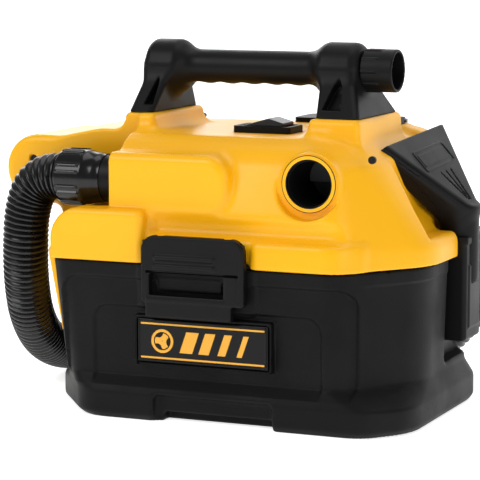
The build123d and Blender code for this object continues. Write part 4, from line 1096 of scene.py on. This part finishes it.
class VACUUM_OT_stage(bpy.types.Operator):
    """Adds the pale floor, the soft studio lights and the camera"""

    bl_idname = "vacuum.stage"
    bl_label = "Studio Stage"

    def execute(self, context):
        scene = context.scene
        lens = bpy.data.cameras.new("camera")
        lens.lens = 175.425
        lens.sensor_width = 36.0
        camera = bpy.data.objects.new("camera", lens)
        scene.collection.objects.link(camera)
        camera.location = CAMERA_AT
        aim = Vector(CAMERA_AIM) - Vector(CAMERA_AT)
        camera.rotation_euler = aim.to_track_quat("-Z", "Y").to_euler()
        scene.camera = camera

        world = bpy.data.worlds.new("studio")
        scene.world = world
        world.use_nodes = True
        tree = world.node_tree
        tree.nodes["Background"].inputs["Color"].default_value = linear("#FFFFFF")
        tree.nodes["Background"].inputs["Strength"].default_value = 0.27

        # one sheet of paper: flat under the vacuum, then curving up behind it to a wall
        curve = np.linspace(0, math.pi / 2, 16)
        run = np.concatenate([[-4.0], SWEEP_AT + SWEEP_RADIUS * np.sin(curve), [SWEEP_AT + SWEEP_RADIUS]])
        rise = np.concatenate([[0.0], SWEEP_RADIUS * (1 - np.cos(curve)), [4.0]])
        across = np.array((-5.0, 5.0))
        points = np.stack(np.broadcast_arrays(across[None, :], run[:, None], rise[:, None]), axis=-1)
        mesh = bpy.data.meshes.new("floor")
        mesh.from_pydata(points.reshape(-1, 3).tolist(), [], grid_faces(len(run), 2, wrap=False).tolist())
        mesh.shade_smooth()
        floor = bpy.data.objects.new("floor", mesh)
        scene.collection.objects.link(floor)
        paper = surface("white_paper_sweep", "#FFFFFF", "#FBFBFB", (0.9, 1.0), 1.0, 0.01)
        glow = paper.node_tree.nodes["Principled BSDF"]
        glow.inputs["Emission Color"].default_value = linear("#FFFFFF")
        glow.inputs["Emission Strength"].default_value = PAPER_GLOW
        mesh.materials.append(paper)

        # name, place, aim, size across and up in metres, watts
        lamps = (
            ("key", (-1.1, -1.7, 1.7), (0.0, 0.0, 0.18), (1.4, 1.0), 24),
            ("fill", (1.9, -1.2, 0.9), (0.05, 0.0, 0.15), (1.2, 1.2), 9),
            ("top", (0.2, 0.3, 2.0), (0.0, 0.0, 0.2), (1.6, 1.2), 11),
            ("rim", (-1.2, 1.6, 1.1), (0.0, 0.0, 0.2), (1.0, 1.0), 9),
        )
        for name, place, target, size, power in lamps:
            light = bpy.data.lights.new(name, "AREA")
            light.shape = "RECTANGLE"
            light.size, light.size_y = size
            light.energy = power
            lamp = bpy.data.objects.new(name, light)
            scene.collection.objects.link(lamp)
            lamp.location = place
            toward = Vector(target) - Vector(place)
            lamp.rotation_euler = toward.to_track_quat("-Z", "Y").to_euler()
        scene.view_settings.view_transform = "Standard"
        return {"FINISHED"}


# Small nodes that show at the outside and are black rather than their slot's colour.
BLACKENED = {"case_screws": "black_steel", "latch_pins": "black_steel", "handle_screws": "black_steel",
             "latch_mounts": "trim_black"}


class VACUUM_OT_finishes(bpy.types.Operator):
    """Gives every CAD node the finish of its material slot"""

    bl_idname = "vacuum.finishes"
    bl_label = "Finishes"

    def execute(self, context):
        for name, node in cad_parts.items():
            slot = BLACKENED.get(name, node.data.materials[0].name)
            node.data.materials.clear()
            node.data.materials.append(finish_for(slot))
        return {"FINISHED"}


# ---------------------------------------------------------------- the add-on

class VacuumLook(bpy.types.PropertyGroup):
    """The colours that a user would change, as sRGB hex."""

    yellow: bpy.props.StringProperty(
        name="Head Yellow", description="Colour of the head's shell", default="#FFBC0C")
    yellow_shade: bpy.props.StringProperty(
        name="Head Shade", description="The shell's second tint", default="#FDB508")
    tank_black: bpy.props.StringProperty(
        name="Tank Black", description="Colour of the tank", default="#0E0E0F")
    trim_black: bpy.props.StringProperty(
        name="Trim Black", description="Colour of handle, latches, nozzle", default="#0F0F10")
    ink: bpy.props.StringProperty(
        name="Badge Ink", description="Colour of the badge's raised print", default="#F2B233")


PIECES = (
    VACUUM_OT_stage, VACUUM_OT_finishes, VACUUM_OT_hose, VACUUM_OT_head, VACUUM_OT_tank,
    VACUUM_OT_handle, VACUUM_OT_nozzle, VACUUM_OT_latches, VACUUM_OT_trim,
)


class VACUUM_PT_panel(bpy.types.Panel):
    """Lists the colours and the operators that build the vacuum"""

    bl_idname = "VACUUM_PT_panel"
    bl_label = "Portable Vacuum"
    bl_space_type = "VIEW_3D"
    bl_region_type = "UI"
    bl_category = "Vacuum"

    def draw(self, context):
        look = context.scene.vacuum_look
        for name in ("yellow", "yellow_shade", "tank_black", "trim_black", "ink"):
            self.layout.prop(look, name)
        for piece in PIECES:
            self.layout.operator(piece.bl_idname)


CLASSES = (VacuumLook, *PIECES, VACUUM_PT_panel)


def register():
    """Registers the classes and hangs the property groups on the scene."""
    for made in CLASSES:
        bpy.utils.register_class(made)
    bpy.types.Scene.vacuum_look = bpy.props.PointerProperty(type=VacuumLook)


def unregister():
    """Takes the property groups off the scene and unregisters the classes."""
    del bpy.types.Scene.vacuum_look
    for made in reversed(CLASSES):
        bpy.utils.unregister_class(made)


def main():
    register()
    for piece in PIECES:
        getattr(bpy.ops.vacuum, piece.bl_idname.split(".")[1])()


if __name__ == "__main__":
    main()
